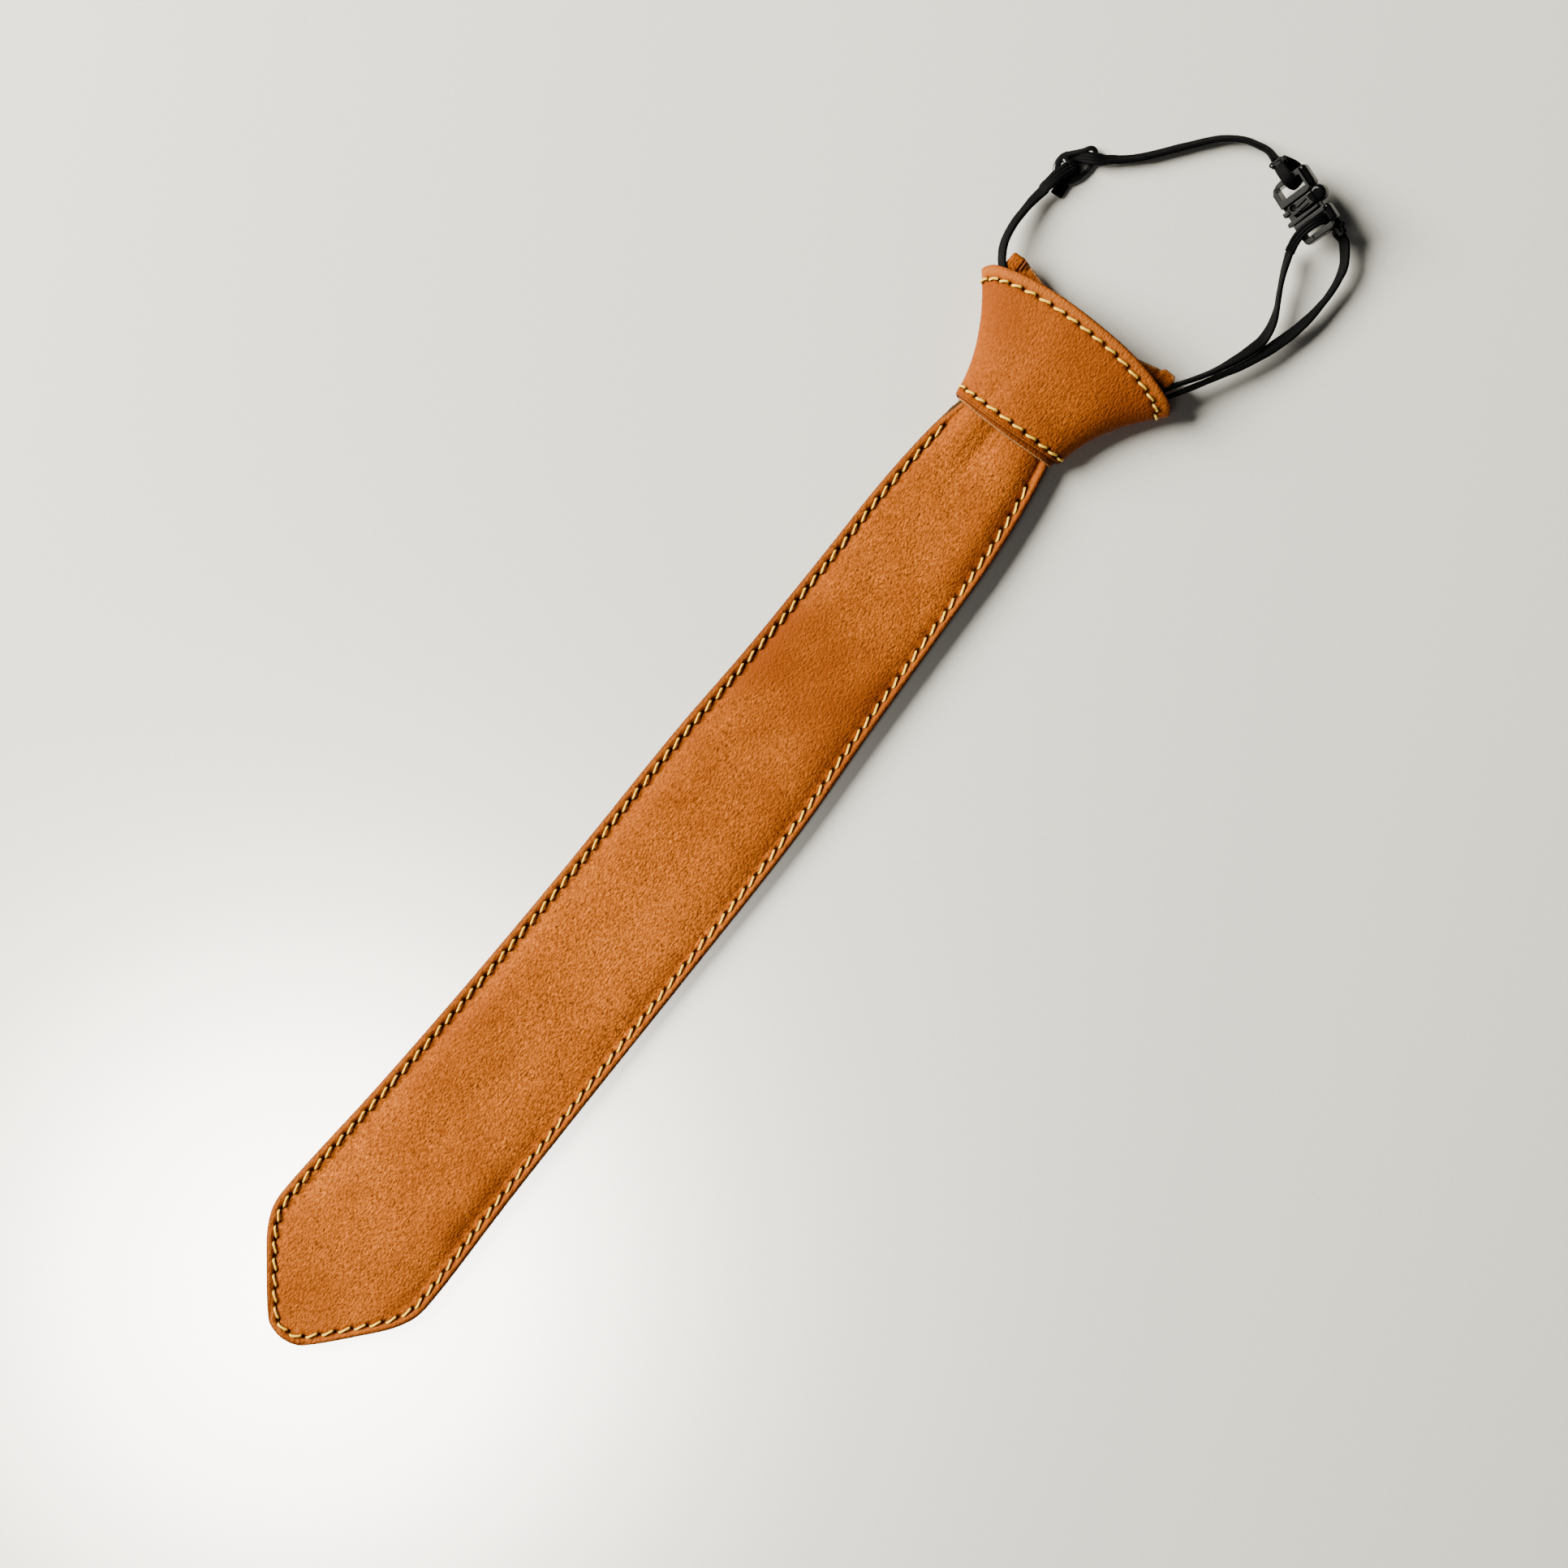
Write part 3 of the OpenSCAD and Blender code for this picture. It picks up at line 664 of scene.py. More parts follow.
# One stitch: along the seam from its hole, towards the leaning side, and above the leather.
THREAD_PATH = [
    (0.66, -0.1, -0.62), (0.84, -0.26, -0.04), (1.1, -0.32, 0.26), (1.75, -0.16, 0.38),
    (2.5, 0.07, 0.38), (3.12, 0.28, 0.26), (3.42, 0.33, -0.04), (3.56, 0.3, -0.6),
]


def sew(shell, path, holes, lift=0.0, lean=1.0, radius=THREAD_R):
    """Adds one twisted slug of thread between each hole and the next."""
    line, _ = spline(THREAD_PATH, 0.24)
    for k, hole in enumerate(holes[:-1]):
        jitter = rng.normal(0, 1, 4)
        along = hole + line[:, 0] * (1 + 0.03 * jitter[0]) + 0.06 * jitter[1]
        along = hole + (along - hole) * min(1.0, (holes[k + 1] - hole) / PITCH)
        base, side, normal = path.at(along)
        height = line[:, 2] * (1 + 0.12 * jitter[2]) + lift
        centre = base + side * (lean * line[:, 1] + 0.04 * jitter[3])[:, None] + normal * height[:, None]
        turn = np.linspace(0, 2 * math.pi, 12, endpoint=False)[None]
        twist = 2 * math.pi * (along - hole)[:, None] / 1.6
        lobes = np.cos(3 * turn - twist)
        r = radius * (1 + 0.10 * lobes)
        ring = np.stack([r * np.cos(turn), 0.86 * r * np.sin(turn)], axis=-1)
        points, faces = tube(centre, ring, normal[0])
        # Painted shade where the thread dives into the leather, and in the grooves of its twist.
        sunk = share((0.16 - line[:, 2]) / 0.25)[:, None] * np.ones_like(turn)
        shell.add(points, faces, sunk=sunk, groove=share(-lobes - 0.35) * 0.8)


def sewn_piece(name, path, holes, node, **how):
    shell = Shell()
    sew(shell, path, holes, **how)
    shell.build(name, MATERIALS["gold"], "tie", [node], in_frame=False)


def hole_marks(x, s, holes, width):
    """1 at each awl hole, falling away within about width."""
    mark = np.zeros(np.shape(x))
    for hx, hs in holes:
        near = (np.abs(x - hx) < 4 * width) & (np.abs(s - hs) < 4 * width)
        mark[near] = np.maximum(mark[near], bump(np.hypot(x[near] - hx, s[near] - hs), width))
    return mark


def slab(shell, top, bottom, top_values, bottom_values):
    """Closes two equal grids of points, top and bottom, into one solid sheet."""
    rows, cols = top.shape[:2]
    n = rows * cols
    faces = grid(rows, cols) + grid(rows, cols, start=n, flip=True)
    border = list(range(cols)) + [i * cols + cols - 1 for i in range(1, rows)]
    border += [(rows - 1) * cols + j for j in range(cols - 2, -1, -1)]
    border += [i * cols for i in range(rows - 2, 0, -1)]
    for a, b in zip(border, border[1:] + border[:1]):
        faces.append((a + n, b + n, b, a))
    values = {k: np.concatenate([np.broadcast_to(top_values.get(k, 0.0), (rows, cols)).ravel(),
                                 np.broadcast_to(bottom_values.get(k, 0.0), (rows, cols)).ravel()])
              for k in set(top_values) | set(bottom_values)}
    shell.add(np.concatenate([top.reshape(-1, 3), bottom.reshape(-1, 3)]), faces, **values)


TIP_ROWS = [0.02, 0.06, 0.15, 0.3, 0.5, 0.75]
BLADE_ROWS = np.concatenate([TIP_ROWS, np.arange(1, 4, 0.3), np.arange(4, 290, 0.5),
                             np.arange(290, TAIL_END + 0.01, 1.4)])
LINING_ROWS = np.concatenate([TIP_ROWS, np.arange(1, 4, 0.4), np.arange(4, 302, 0.8), [303.0, TAIL_END]])
# Darkening along the blade: distance from the tip, amount. It is partly cloudy tone and partly painted
# shade: the dark band round 203 to 214 and the rise where the blade runs under the knot.
TONE_AND_SHADE = [
    (0, 0.42), (12, 0.38), (24, 0.3), (36, 0.16), (52, 0.1), (66, 0.16), (82, 0.18), (100, 0.05),
    (118, 0.0), (130, 0.02), (144, 0.08), (154, 0.0), (166, 0.12), (178, 0.26), (192, 0.38), (203, 0.72),
    (214, 0.70), (226, 0.34), (238, 0.2), (252, 0.26), (262, 0.34), (272, 0.16), (280, 0.3), (286, 0.7),
    (304, 0.8),
]
PITS = [(17.4, 151.5), (3.0, 62.5), (-1.6, 64.5)]


def blade_tone_and_shade(x, s, d, groove, pucker):
    """How dark the face is: clouds and a few pits, with painted shade in the seam's groove, round its holes
    and along its right side.
    """
    seam_end = ease((s - 274) / 6)
    tone = smooth_table(s, TONE_AND_SHADE) + 0.10 * waves(x, s, RIPPLE) + 0.13 * waves(x, s, SWELL)
    # Painted shade in the groove, round the holes and on the right, away from the light.
    tone += 0.30 * groove * (1 - seam_end) + 0.22 * pucker + 0.10 * ease((x - 6) / 10) * ease(s / 20)
    # Darker towards the left edge from mid-blade.
    tone += 0.22 * ease((-x - 6) / 8) * ease((s - 60) / 120)
    for px, ps in PITS:
        tone += bump(np.hypot(x - px, s - ps), 0.7)
    # Painted shade along the right-hand edge.
    tone += 0.6 * share(1 - d / 2.0) * (x > centre_x(s))
    return share(tone)


def build_blade():
    seam = blade_seam()
    tip_run = seam.run[np.argmin(seam.points[:, 1])]
    start = (tip_run - 3.3) % PITCH + PITCH * 2
    holes = start + PITCH * np.arange(int((seam.run[-1] - 5.0 - start) // PITCH) + 1)
    at, side, _ = seam.at(holes + MARK_AHEAD)
    at = at + 0.05 * side
    face = build_blade_face(at[:, :2])
    cut_s = np.linspace(0, TAIL_END, 600)
    cut_area = float(np.sum(2 * half_w(cut_s)) * TAIL_END / 600) * MM * MM
    sewn_piece("blade_thread", seam, holes, "blade_stitching", lift=-0.04, radius=0.31)
    lining = build_blade_lining()


def build_blade_face(holes):
    x, s, d = blade_grid(BLADE_ROWS, 46)
    top = blade_top(x, s, d)
    bottom = top - FACE_T + rounded(d, 0.3)
    groove = bump(d - BLADE_MARGIN, 0.5)
    # Awl holes: dented into the face and painted with shade.
    marks = share(1.6 * hole_marks(x, s, holes, 0.44))
    pucker = hole_marks(x, s, holes, 1.2)
    top = top - rounded(d, 0.95) - 0.24 * groove - 0.42 * marks - 0.16 * pucker
    top += 0.14 * bump(d - 1.15, 0.6)
    rim = share(1 - d / 0.42) * 0.9 + 0.35 * bump(d - 0.5, 0.3)
    # Painted highlight on the raised lip, strong on the lit left side and weak on the shaded right.
    lip = bump(d - 1.15, 0.65) * np.where(x < centre_x(s), 0.7, 0.25)
    shell = Shell()
    slab(shell, np.stack([x, s, top], axis=-1), np.stack([x, s, bottom], axis=-1),
         {"tone": blade_tone_and_shade(x, s, d, groove, pucker), "rim": rim, "hole": marks, "lip": lip},
         {"raw": 0.85, "rim": share(1 - d / 0.3) * 0.7})
    return shell.build("blade_face_leather", MATERIALS["tan"], "tie", ["blade_face"],
                       in_frame=False)


def build_blade_lining():
    near = np.array([0, 0.1, 0.25, 0.45, 0.7, 1.1, 1.7, 2.3, 3.0, 4.2])
    x, s, d = blade_grid(LINING_ROWS, 20, fray=0.16, near=near)
    u = np.clip((x - centre_x(s)) / half_w(s), -1, 1)
    low = under_z(s) + edge_z(s, u)
    nap = 0.03 * rng.normal(0, 1, x.shape)
    shell = Shell()
    slab(shell, np.stack([x, s, low + LINING_T - rounded(d, 0.25)], axis=-1),
         np.stack([x, s, low + rounded(d, 0.7) + np.maximum(nap, 0)], axis=-1),
         {"rim": share(1 - d / 0.5)}, {"rim": share(1 - d / 0.7)})
    return shell.build("blade_lining_leather", MATERIALS["suede"], "tie", ["blade_lining"],
                       in_frame=False)


# ---------------- the knot's shape

def knot_s_at(t, q):
    corner = 1.3 * share((np.abs(q) - 0.92) / 0.08) ** 2 * share(t) ** 3
    return KNOT_S + mix(0.35 + 1.05 * q + 0.9 * q ** 2, mix(KNOT_SPAN, 29.8, np.abs(q) ** 2.6), t) - corner


def knot_point(t, a, inset, flare=0.0):
    """A point of the knot: t from bottom to top, a round it from the right, inset below its outer face."""
    tc = share(t)
    w = mix(*KNOT_WIDTHS, tc ** 1.7) / 2 - inset
    thick = mix(*KNOT_DEPTHS, tc)
    mid = 0.4 * thick
    rise = thick - mid - inset + flare
    drop = 1.2 * mid - inset
    lift = np.abs(np.sin(a)) ** 0.8
    z = np.where(np.sin(a) >= 0, mid + rise * lift, np.maximum(inset, mid - drop * lift))
    x = w * np.cos(a)
    return np.stack([x, knot_s_at(t, np.cos(a)), z], axis=-1)


def knot_angles(front_step, back_step):
    """Angles round the knot, evenly far apart on its surface and finer on the front than on the back."""
    a = np.linspace(0, 2 * math.pi, 4001)
    p = knot_point(0.6, a, 0.0)
    step = np.linalg.norm(np.diff(p, axis=0), axis=1)
    weight = step / np.where(np.sin(a[:-1]) > -0.15, front_step, back_step)
    run = np.concatenate([[0], np.cumsum(weight)])
    count = int(run[-1])
    return np.interp(np.arange(count) * run[-1] / count, run, a)


KNOT_SWELL = make_waves(7, 14, 30)


def knot_swell(t, a):
    """The front's soft unevenness: a shallow hollow in its middle and fuller shoulders."""
    p = knot_point(t, a, 0.0)
    front = share(np.sin(a))
    slow = 0.10 * waves(p[..., 0], p[..., 1], KNOT_SWELL)
    crease = -0.35 * bump(np.cos(a) + 0.55 - 0.3 * t, 0.13) * (1 - share(t))
    return front * (slow + crease)


def closed_loop_shell(shell, points, values):
    """points is (angles, profile, 3), closed both ways."""
    rows, cols = points.shape[:2]
    i, j = np.meshgrid(np.arange(rows), np.arange(cols), indexing="ij")
    k, m = (i + 1) % rows, (j + 1) % cols
    faces = np.stack([i * cols + j, k * cols + j, k * cols + m, i * cols + m], axis=-1).reshape(-1, 4)
    shell.add(points, faces.tolist(), **values)


def layer_profile(length, inset, thick, outer_r, inner_r, step, inner_step):
    """The closed section of a layer: (distance from the bottom edge, depth below the knot's outer face)."""
    turn = np.linspace(0, math.pi / 2, 6)
    out, back = np.sin(turn), 1 - np.cos(turn)
    e = np.linspace(outer_r, length - outer_r, max(6, int(length / step)))
    f = np.linspace(length - inner_r, inner_r, max(5, int(length / inner_step)))[1:]
    deep = inset + thick
    rows = [(e, np.full(len(e), inset)),
            (length - outer_r + outer_r * out[1:], inset + outer_r * back[1:]),
            (length - inner_r * back, deep - inner_r + inner_r * out),
            (f, np.full(len(f), deep)),
            (inner_r * (1 - out[1:]), deep - inner_r * back[1:]),
            ((outer_r * back[:-1])[::-1], (inset + outer_r * (1 - out[:-1]))[::-1])]
    return np.concatenate([np.stack(row, axis=1) for row in rows])


def bottom_margin(q):
    """The lower row runs closer to the edge towards the right."""
    return BOTTOM_MARGIN - 1.15 * share((q + 0.25) / 1.25) ** 1.5


def knot_row(from_top):
    """A line of stitches across the knot's front and round its flanks, along its top or bottom edge."""
    a = np.linspace(math.pi + 0.3, -0.3, 481)
    q = np.cos(a)
    length = knot_s_at(1, q) - knot_s_at(0, q)
    t = 1 - TOP_MARGIN / length if from_top else bottom_margin(q) / length
    p = knot_point(t, a, 0.0, flare_at(t))
    p[:, 2] += knot_swell(t, a)
    p = p[p[:, 2] > 2.9]
    ahead = unit(np.gradient(p, axis=0))
    normal = unit(np.cross(ahead, np.tile([0, 1.0, 0], (len(p), 1))))
    normal = np.where(normal[:, 2:] < 0, -normal, normal)
    side = np.cross(normal, ahead)
    return Path(p, side, normal)


def flare_at(t):
    return 0.7 * share(1 - share(t) / 0.1) ** 2


# Each line of stitches: its name, whether it is the top one, how many it has, and how far from the
# middle they stay evenly spaced before they crowd towards the flanks.
KNOT_ROWS = [("knot_top", True, 17, 20.0), ("knot_bottom", False, 10, 8.0)]


def knot_seam(from_top, count, even):
    """One line of stitches, its holes by distance run, and the holes' places seen from above."""
    path = knot_row(from_top)
    offsets = PITCH * (np.arange(count + 1) - count / 2)
    beyond = np.clip(np.abs(offsets) - even, 0, None)
    holes = np.interp(0, path.points[:, 0], path.run) + offsets - 0.2 * beyond * np.sign(offsets)
    holes = holes[(holes > 0.4) & (holes < path.run[-1] - 0.4)]
    return path, holes, path.at(holes + MARK_AHEAD)[0][:, :2]


def build_knot():
    angles = knot_angles(0.42, 1.3)
    seams = [knot_seam(*row) for _, *row in KNOT_ROWS]
    wrap = build_knot_wrap(angles, np.concatenate([marks for _, _, marks in seams]))
    for (name, *_), (path, holes, _) in zip(KNOT_ROWS, seams):
        sewn_piece(name + "_thread", path, holes, name + "_stitching", lift=-0.02, lean=0.75)
    build_back_seam()
    lining = build_knot_lining(angles)


def from_low_edge(e, length):
    """The section is for the mean height: each angle keeps both rims and stretches what lies between."""
    low = e[None] * np.ones_like(length)
    moved = np.where(e[None] > KNOT_MEAN / 2, length - (KNOT_MEAN - low), low)
    rim = 4
    between = (e[None] > rim) & (e[None] < KNOT_MEAN - rim)
    return np.where(between, rim + (low - rim) * (length - 2 * rim) / (KNOT_MEAN - 2 * rim), moved)


def knot_tone_and_shade(p, low, groove, pucker, front):
    # Random waves, with painted shade in the seam grooves, round the holes, on the right flank and along
    # the bottom rim; also darker towards the top, the left flank and the lower part.
    x, s = p[..., 0], p[..., 1]
    tone = 0.34 + 0.07 * waves(x, s, KNOT_SWELL) + 0.3 * groove + 0.25 * pucker
    tone += 0.30 * ease((s - 294) / 16) + 0.22 * ease((-x - 6) / 10) + 0.3 * ease((x - 6) / 16)
    return share(tone + 0.15 * bump(low - 6, 5) + 0.45 * bump(low - 0.9, 0.8) * front)


def build_knot_wrap(angles, holes):
    q = np.cos(angles)
    e, inset = layer_profile(KNOT_MEAN, 0.0, WRAP_T, 0.85, 0.4, 0.36, 1.6).T
    length = (knot_s_at(1, q) - knot_s_at(0, q))[:, None]
    low = from_low_edge(e, length)
    high = length - low
    t = low / length
    a = np.broadcast_to(angles[:, None], t.shape)
    depth = np.broadcast_to(inset[None], t.shape)
    p = knot_point(t, a, depth, flare_at(t))
    p[..., 2] += knot_swell(t, a)
    front = (np.sin(a) > -0.15) & (depth < 0.7)
    # Awl holes: dented into the wrap and painted with shade.
    marks = share(1.6 * front * hole_marks(p[..., 0], p[..., 1], holes, 0.46))
    pucker = front * hole_marks(p[..., 0], p[..., 1], holes, 1.2)
    low_groove = bump(low - bottom_margin(q)[:, None], 0.45)
    groove = front * np.maximum(low_groove, bump(high - TOP_MARGIN, 0.45))
    # Painted highlight along the lips near the wrap's top and bottom edges, which also rise a little.
    lip = np.maximum(0.25 * bump(low - 0.5, 0.35), bump(high - 1.5, 1.0)) * front
    seam = bump(p[..., 0] - 4, 0.35) * (np.sin(a) < -0.5) * (depth < 0.7)
    p[..., 2] += 0.12 * lip + 0.3 * seam - 0.22 * groove - 0.4 * marks - 0.14 * pucker
    shell = Shell()
    closed_loop_shell(shell, p, {
        "tone": knot_tone_and_shade(p, low, groove, pucker, front),
        "rim": share(1 - np.minimum(low, high) / 0.4) * 0.85,
        "raw": np.where(depth > WRAP_T - 0.05, 0.8, 0.0),
        "hole": marks,
        "lip": 0.8 * lip,
    })
    return shell.build("knot_wrap_leather", MATERIALS["tan"], "tie", ["knot_wrap"],
                       in_frame=False)


def build_back_seam():
    s = np.linspace(286, 317, 120)
    points = np.stack([np.full(120, 4.0), s, np.full(120, 0.58)], axis=1)
    path = Path(points, np.tile([1.0, 0, 0], (120, 1)), np.tile([0, 0, -1.0], (120, 1)))
    sewn_piece("knot_back_thread", path, np.arange(1, 29, PITCH), "knot_back_stitching",
               lift=-0.12, lean=0.4, radius=0.32)


def build_knot_lining(angles):
    angles = angles[::2]
    e, depth = layer_profile(KNOT_MEAN, WRAP_T, KNOT_LINING_T, 0.3, 0.3, 0.8, 1.6).T
    q = np.cos(angles)
    length = (knot_s_at(1, q) - knot_s_at(0, q))[:, None]
    show = np.where(np.sin(angles) > 0, mix(0.45, 1.75, (q + 1) / 2), 0.3)[:, None]
    low = e[None] * np.ones_like(length)
    e_at = np.where(e[None] > KNOT_MEAN / 2, length - (KNOT_MEAN - low) - 0.3,
                    low - show * share(1 - e[None] / 6))
    t = e_at / length
    a = np.broadcast_to(angles[:, None], t.shape)
    inset = np.broadcast_to(depth[None], t.shape)
    p = knot_point(t, a, inset, flare_at(t) * share(1 - (inset - WRAP_T)))
    p[..., 2] += knot_swell(t, a)
    from_edge = e_at + show
    outward = share((0.3 - from_edge) / 0.12)
    shell = Shell()
    # Painted shade: the lining strip that shows under the wrap is darkened all over and more along a band
    # 1.4 mm from its edge, while its raw cut edge stays light.
    rim = 0.25 + 0.4 * bump(from_edge - 1.4, 0.6)
    closed_loop_shell(shell, p, {"tone": np.ones_like(t), "raw": outward, "rim": rim})
    return shell.build("knot_lining_leather", MATERIALS["tan"], "tie", ["knot_lining"],
                       in_frame=False)


# ---------------- the collar band behind the knot's top

BAND_TOP = [
    (-23.7, 321.0), (-20.6, 320.2), (-10, 317.7), (0, 315.5), (10, 317.7), (20.6, 320.2), (23.7, 321.0),
]
BAND_LOW = [
    (-23.7, 317.4), (-19.6, 310.8), (-15.5, 304.0), (15.5, 304.0), (19.6, 310.8), (23.7, 317.4),
]


BAND_HALF = 23.7


def band_z(x):
    return 2.45 + 2 * (x / 24) ** 2


def band_outline():
    x = np.linspace(-BAND_HALF, BAND_HALF, 160)
    high = np.interp(x, *np.array(BAND_TOP).T)
    low = np.interp(x, *np.array(BAND_LOW).T)
    high = high - 0.9 * share((np.abs(x) - 22.6) / 1.1) ** 2
    return x, low, high


def band_grid(x, low, high):
    """x and s of points over the band, crowded near its edge."""
    crowd = np.array([0, 0.03, 0.08, 0.16, 0.28, 0.5, 0.8])
    left = -BAND_HALF + crowd * 1.6
    across = np.concatenate([left, np.linspace(-22.2, 22.2, 110), -left[::-1]])
    rows = []
    for a, b in zip(np.interp(across, x, low), np.interp(across, x, high)):
        near = crowd * min(1.4, (b - a) / 3)
        between = np.linspace(a + near[-1], b - near[-1], 16)[1:-1]
        rows.append(np.concatenate([a + near, between, (b - near)[::-1]]))
    s = np.array(rows)
    return np.broadcast_to(across[:, None], s.shape).copy(), s


def build_band():
    x, low, high = band_outline()
    xx, s = band_grid(x, low, high)
    ring = np.concatenate([np.stack([x, low], 1), np.stack([x, high], 1)[::-1]])
    ring = np.concatenate([ring, ring[:1]])
    d = np.array([distance_all(np.stack(row, 1), ring) for row in zip(xx, s)])
    z = band_z(xx)
    top = np.stack([xx, s, z + BAND_T - rounded(d, 0.55)], axis=-1)
    low_side = np.stack([xx, s, z + rounded(d, 0.5)], axis=-1)
    # A slit near each upper corner, dented and painted with shade.
    slit = bump(np.abs(xx) - 20.2, 0.35) * ease((s - 318.3) / 0.6)
    top[..., 2] -= 0.6 * slit
    rim = share(1 - d / 0.35) * 0.5
    shell = Shell()
    tone = 0.25 + 0.2 * bump(d - 1.4, 0.8)
    raw = share(bump(d - 0.25, 0.3) * 0.9)
    slab(shell, top.transpose(1, 0, 2), low_side.transpose(1, 0, 2),
         {"tone": tone.T, "rim": rim.T, "raw": raw.T, "hole": 0.6 * slit.T}, {"raw": 0.8})
    for points, quads in band_rolls():
        shell.add(points, quads, **roll_colours(points))
    band = shell.build("collar_band_leather", MATERIALS["tan"], "tie", ["collar_band"],
                       in_frame=False)


def band_rolls():
    """The band's two upper corners: each is turned over into a small roll, and the right-hand roll has a
    cut end.
    """
    f = Field((-26.6, 312.5, 2.2), (-20.4, 322.2, 8.4), 0.14)
    left = f.box((-25.5, 313.0, 2.9), (-22.0, 320.5, 7.1), 0.8)
    g = Field((19.6, 311.8, 2.2), (26.4, 322.8, 8.6), 0.14)
    right = g.box((20.8, 312.0, 2.9), (25.0, 320.9, 7.2), 0.85)
    right = cut(right, g.plate([(25.6, 318.0), (27.5, 318.0), (27.5, 323.0), (23.4, 323.0)], 0, 9, 0.1))
    return [f.surface(left), g.surface(right)]


def roll_colours(p):
    """Painted shade, darker towards the table, with a raw cut end on the right-hand roll."""
    top = p[:, 1] > np.where(p[:, 0] > 0, 320.3 - 0.75 * np.clip(p[:, 0] - 23.4, 0, 2), 322)
    low = share((6.0 - p[:, 2]) / 3)
    return {"tone": 0.5 + 0.4 * low, "raw": 0.6 * top.astype(float)}


# ---------------- elastic, a ribbon with a rubber core in each rib

RIB = 0.78


def ribbon_section(width, thick):
    """Half of the points run over the top face and half under it; each rib is a low ridge."""
    r = thick / 2
    flat = np.linspace(-(width / 2 - r), width / 2 - r, 22)
    arc = np.linspace(math.pi / 2, -math.pi / 2, 6)[1:-1]
    right = np.stack([width / 2 - r + r * np.cos(arc), r * np.sin(arc)], 1)
    ridge = 0.055 * np.cos(2 * math.pi * flat / RIB) - 0.055
    top = np.stack([flat, r + ridge], 1)
    return np.concatenate([top, right, -top, -right])


def cross_frame(path, angle=None, wide=None):
    """For each point: the direction ahead, across the ribbon's width, and through its thickness."""
    ahead = unit(np.gradient(path, axis=0))
    if wide is None:
        side = unit(np.cross(ahead, [0.0, 0.0, 1.0]))
        rise = np.cross(side, ahead)
        c, s = np.cos(np.radians(angle))[:, None], np.sin(np.radians(angle))[:, None]
        wide = rise * c + side * s
    else:
        wide = unit(wide - (wide * ahead).sum(1, keepdims=True) * ahead)
    return ahead, wide, np.cross(ahead, wide)


def ribbon(shell, path, angle=None, wide=None, cut_end=False, width=ELASTIC_W):
    """Adds one ribbon along path, turned by angle or with its width along wide."""
    section = ribbon_section(width, ELASTIC_T)
    _, across, through = cross_frame(path, angle, wide)
    run = np.concatenate([[0], np.cumsum(np.linalg.norm(np.diff(path, axis=0), axis=1))])
    shrink = np.ones(len(path))
    if cut_end:
        shrink[-1] = 0.93
    breathe = 1 + 0.02 * np.cos(run * 0.9 + 1.3 * np.cos(run * 0.31))
    ring = section[None] * (shrink * breathe)[:, None, None]
    points = path[:, None] + across[:, None] * ring[..., :1] + through[:, None] * ring[..., 1:]
    shell.add(points, tube_faces(len(path), len(section)), run=np.repeat(run, len(section)),
              across=np.tile(section[:, 0], len(path)))


def route(table, step=0.45):
    """Rows of (x, s, z, angle) to points in the frame, still in millimetres, and angles."""
    fine, _ = spline(table, step)
    fine[:, 1] -= LENGTH / 2
    return fine[:, :3], fine[:, 3]


def cord_piece(name, table, replaces):
    """A free stretch of elastic that is held by two bodies and turns between them."""
    path, angle = route(table)
    shell = Shell()
    ribbon(shell, path, angle)
    piece = shell.build(name, MATERIALS["elastic"], None, [replaces])
    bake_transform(piece)


# ---------------- moulded plastic by distance fields

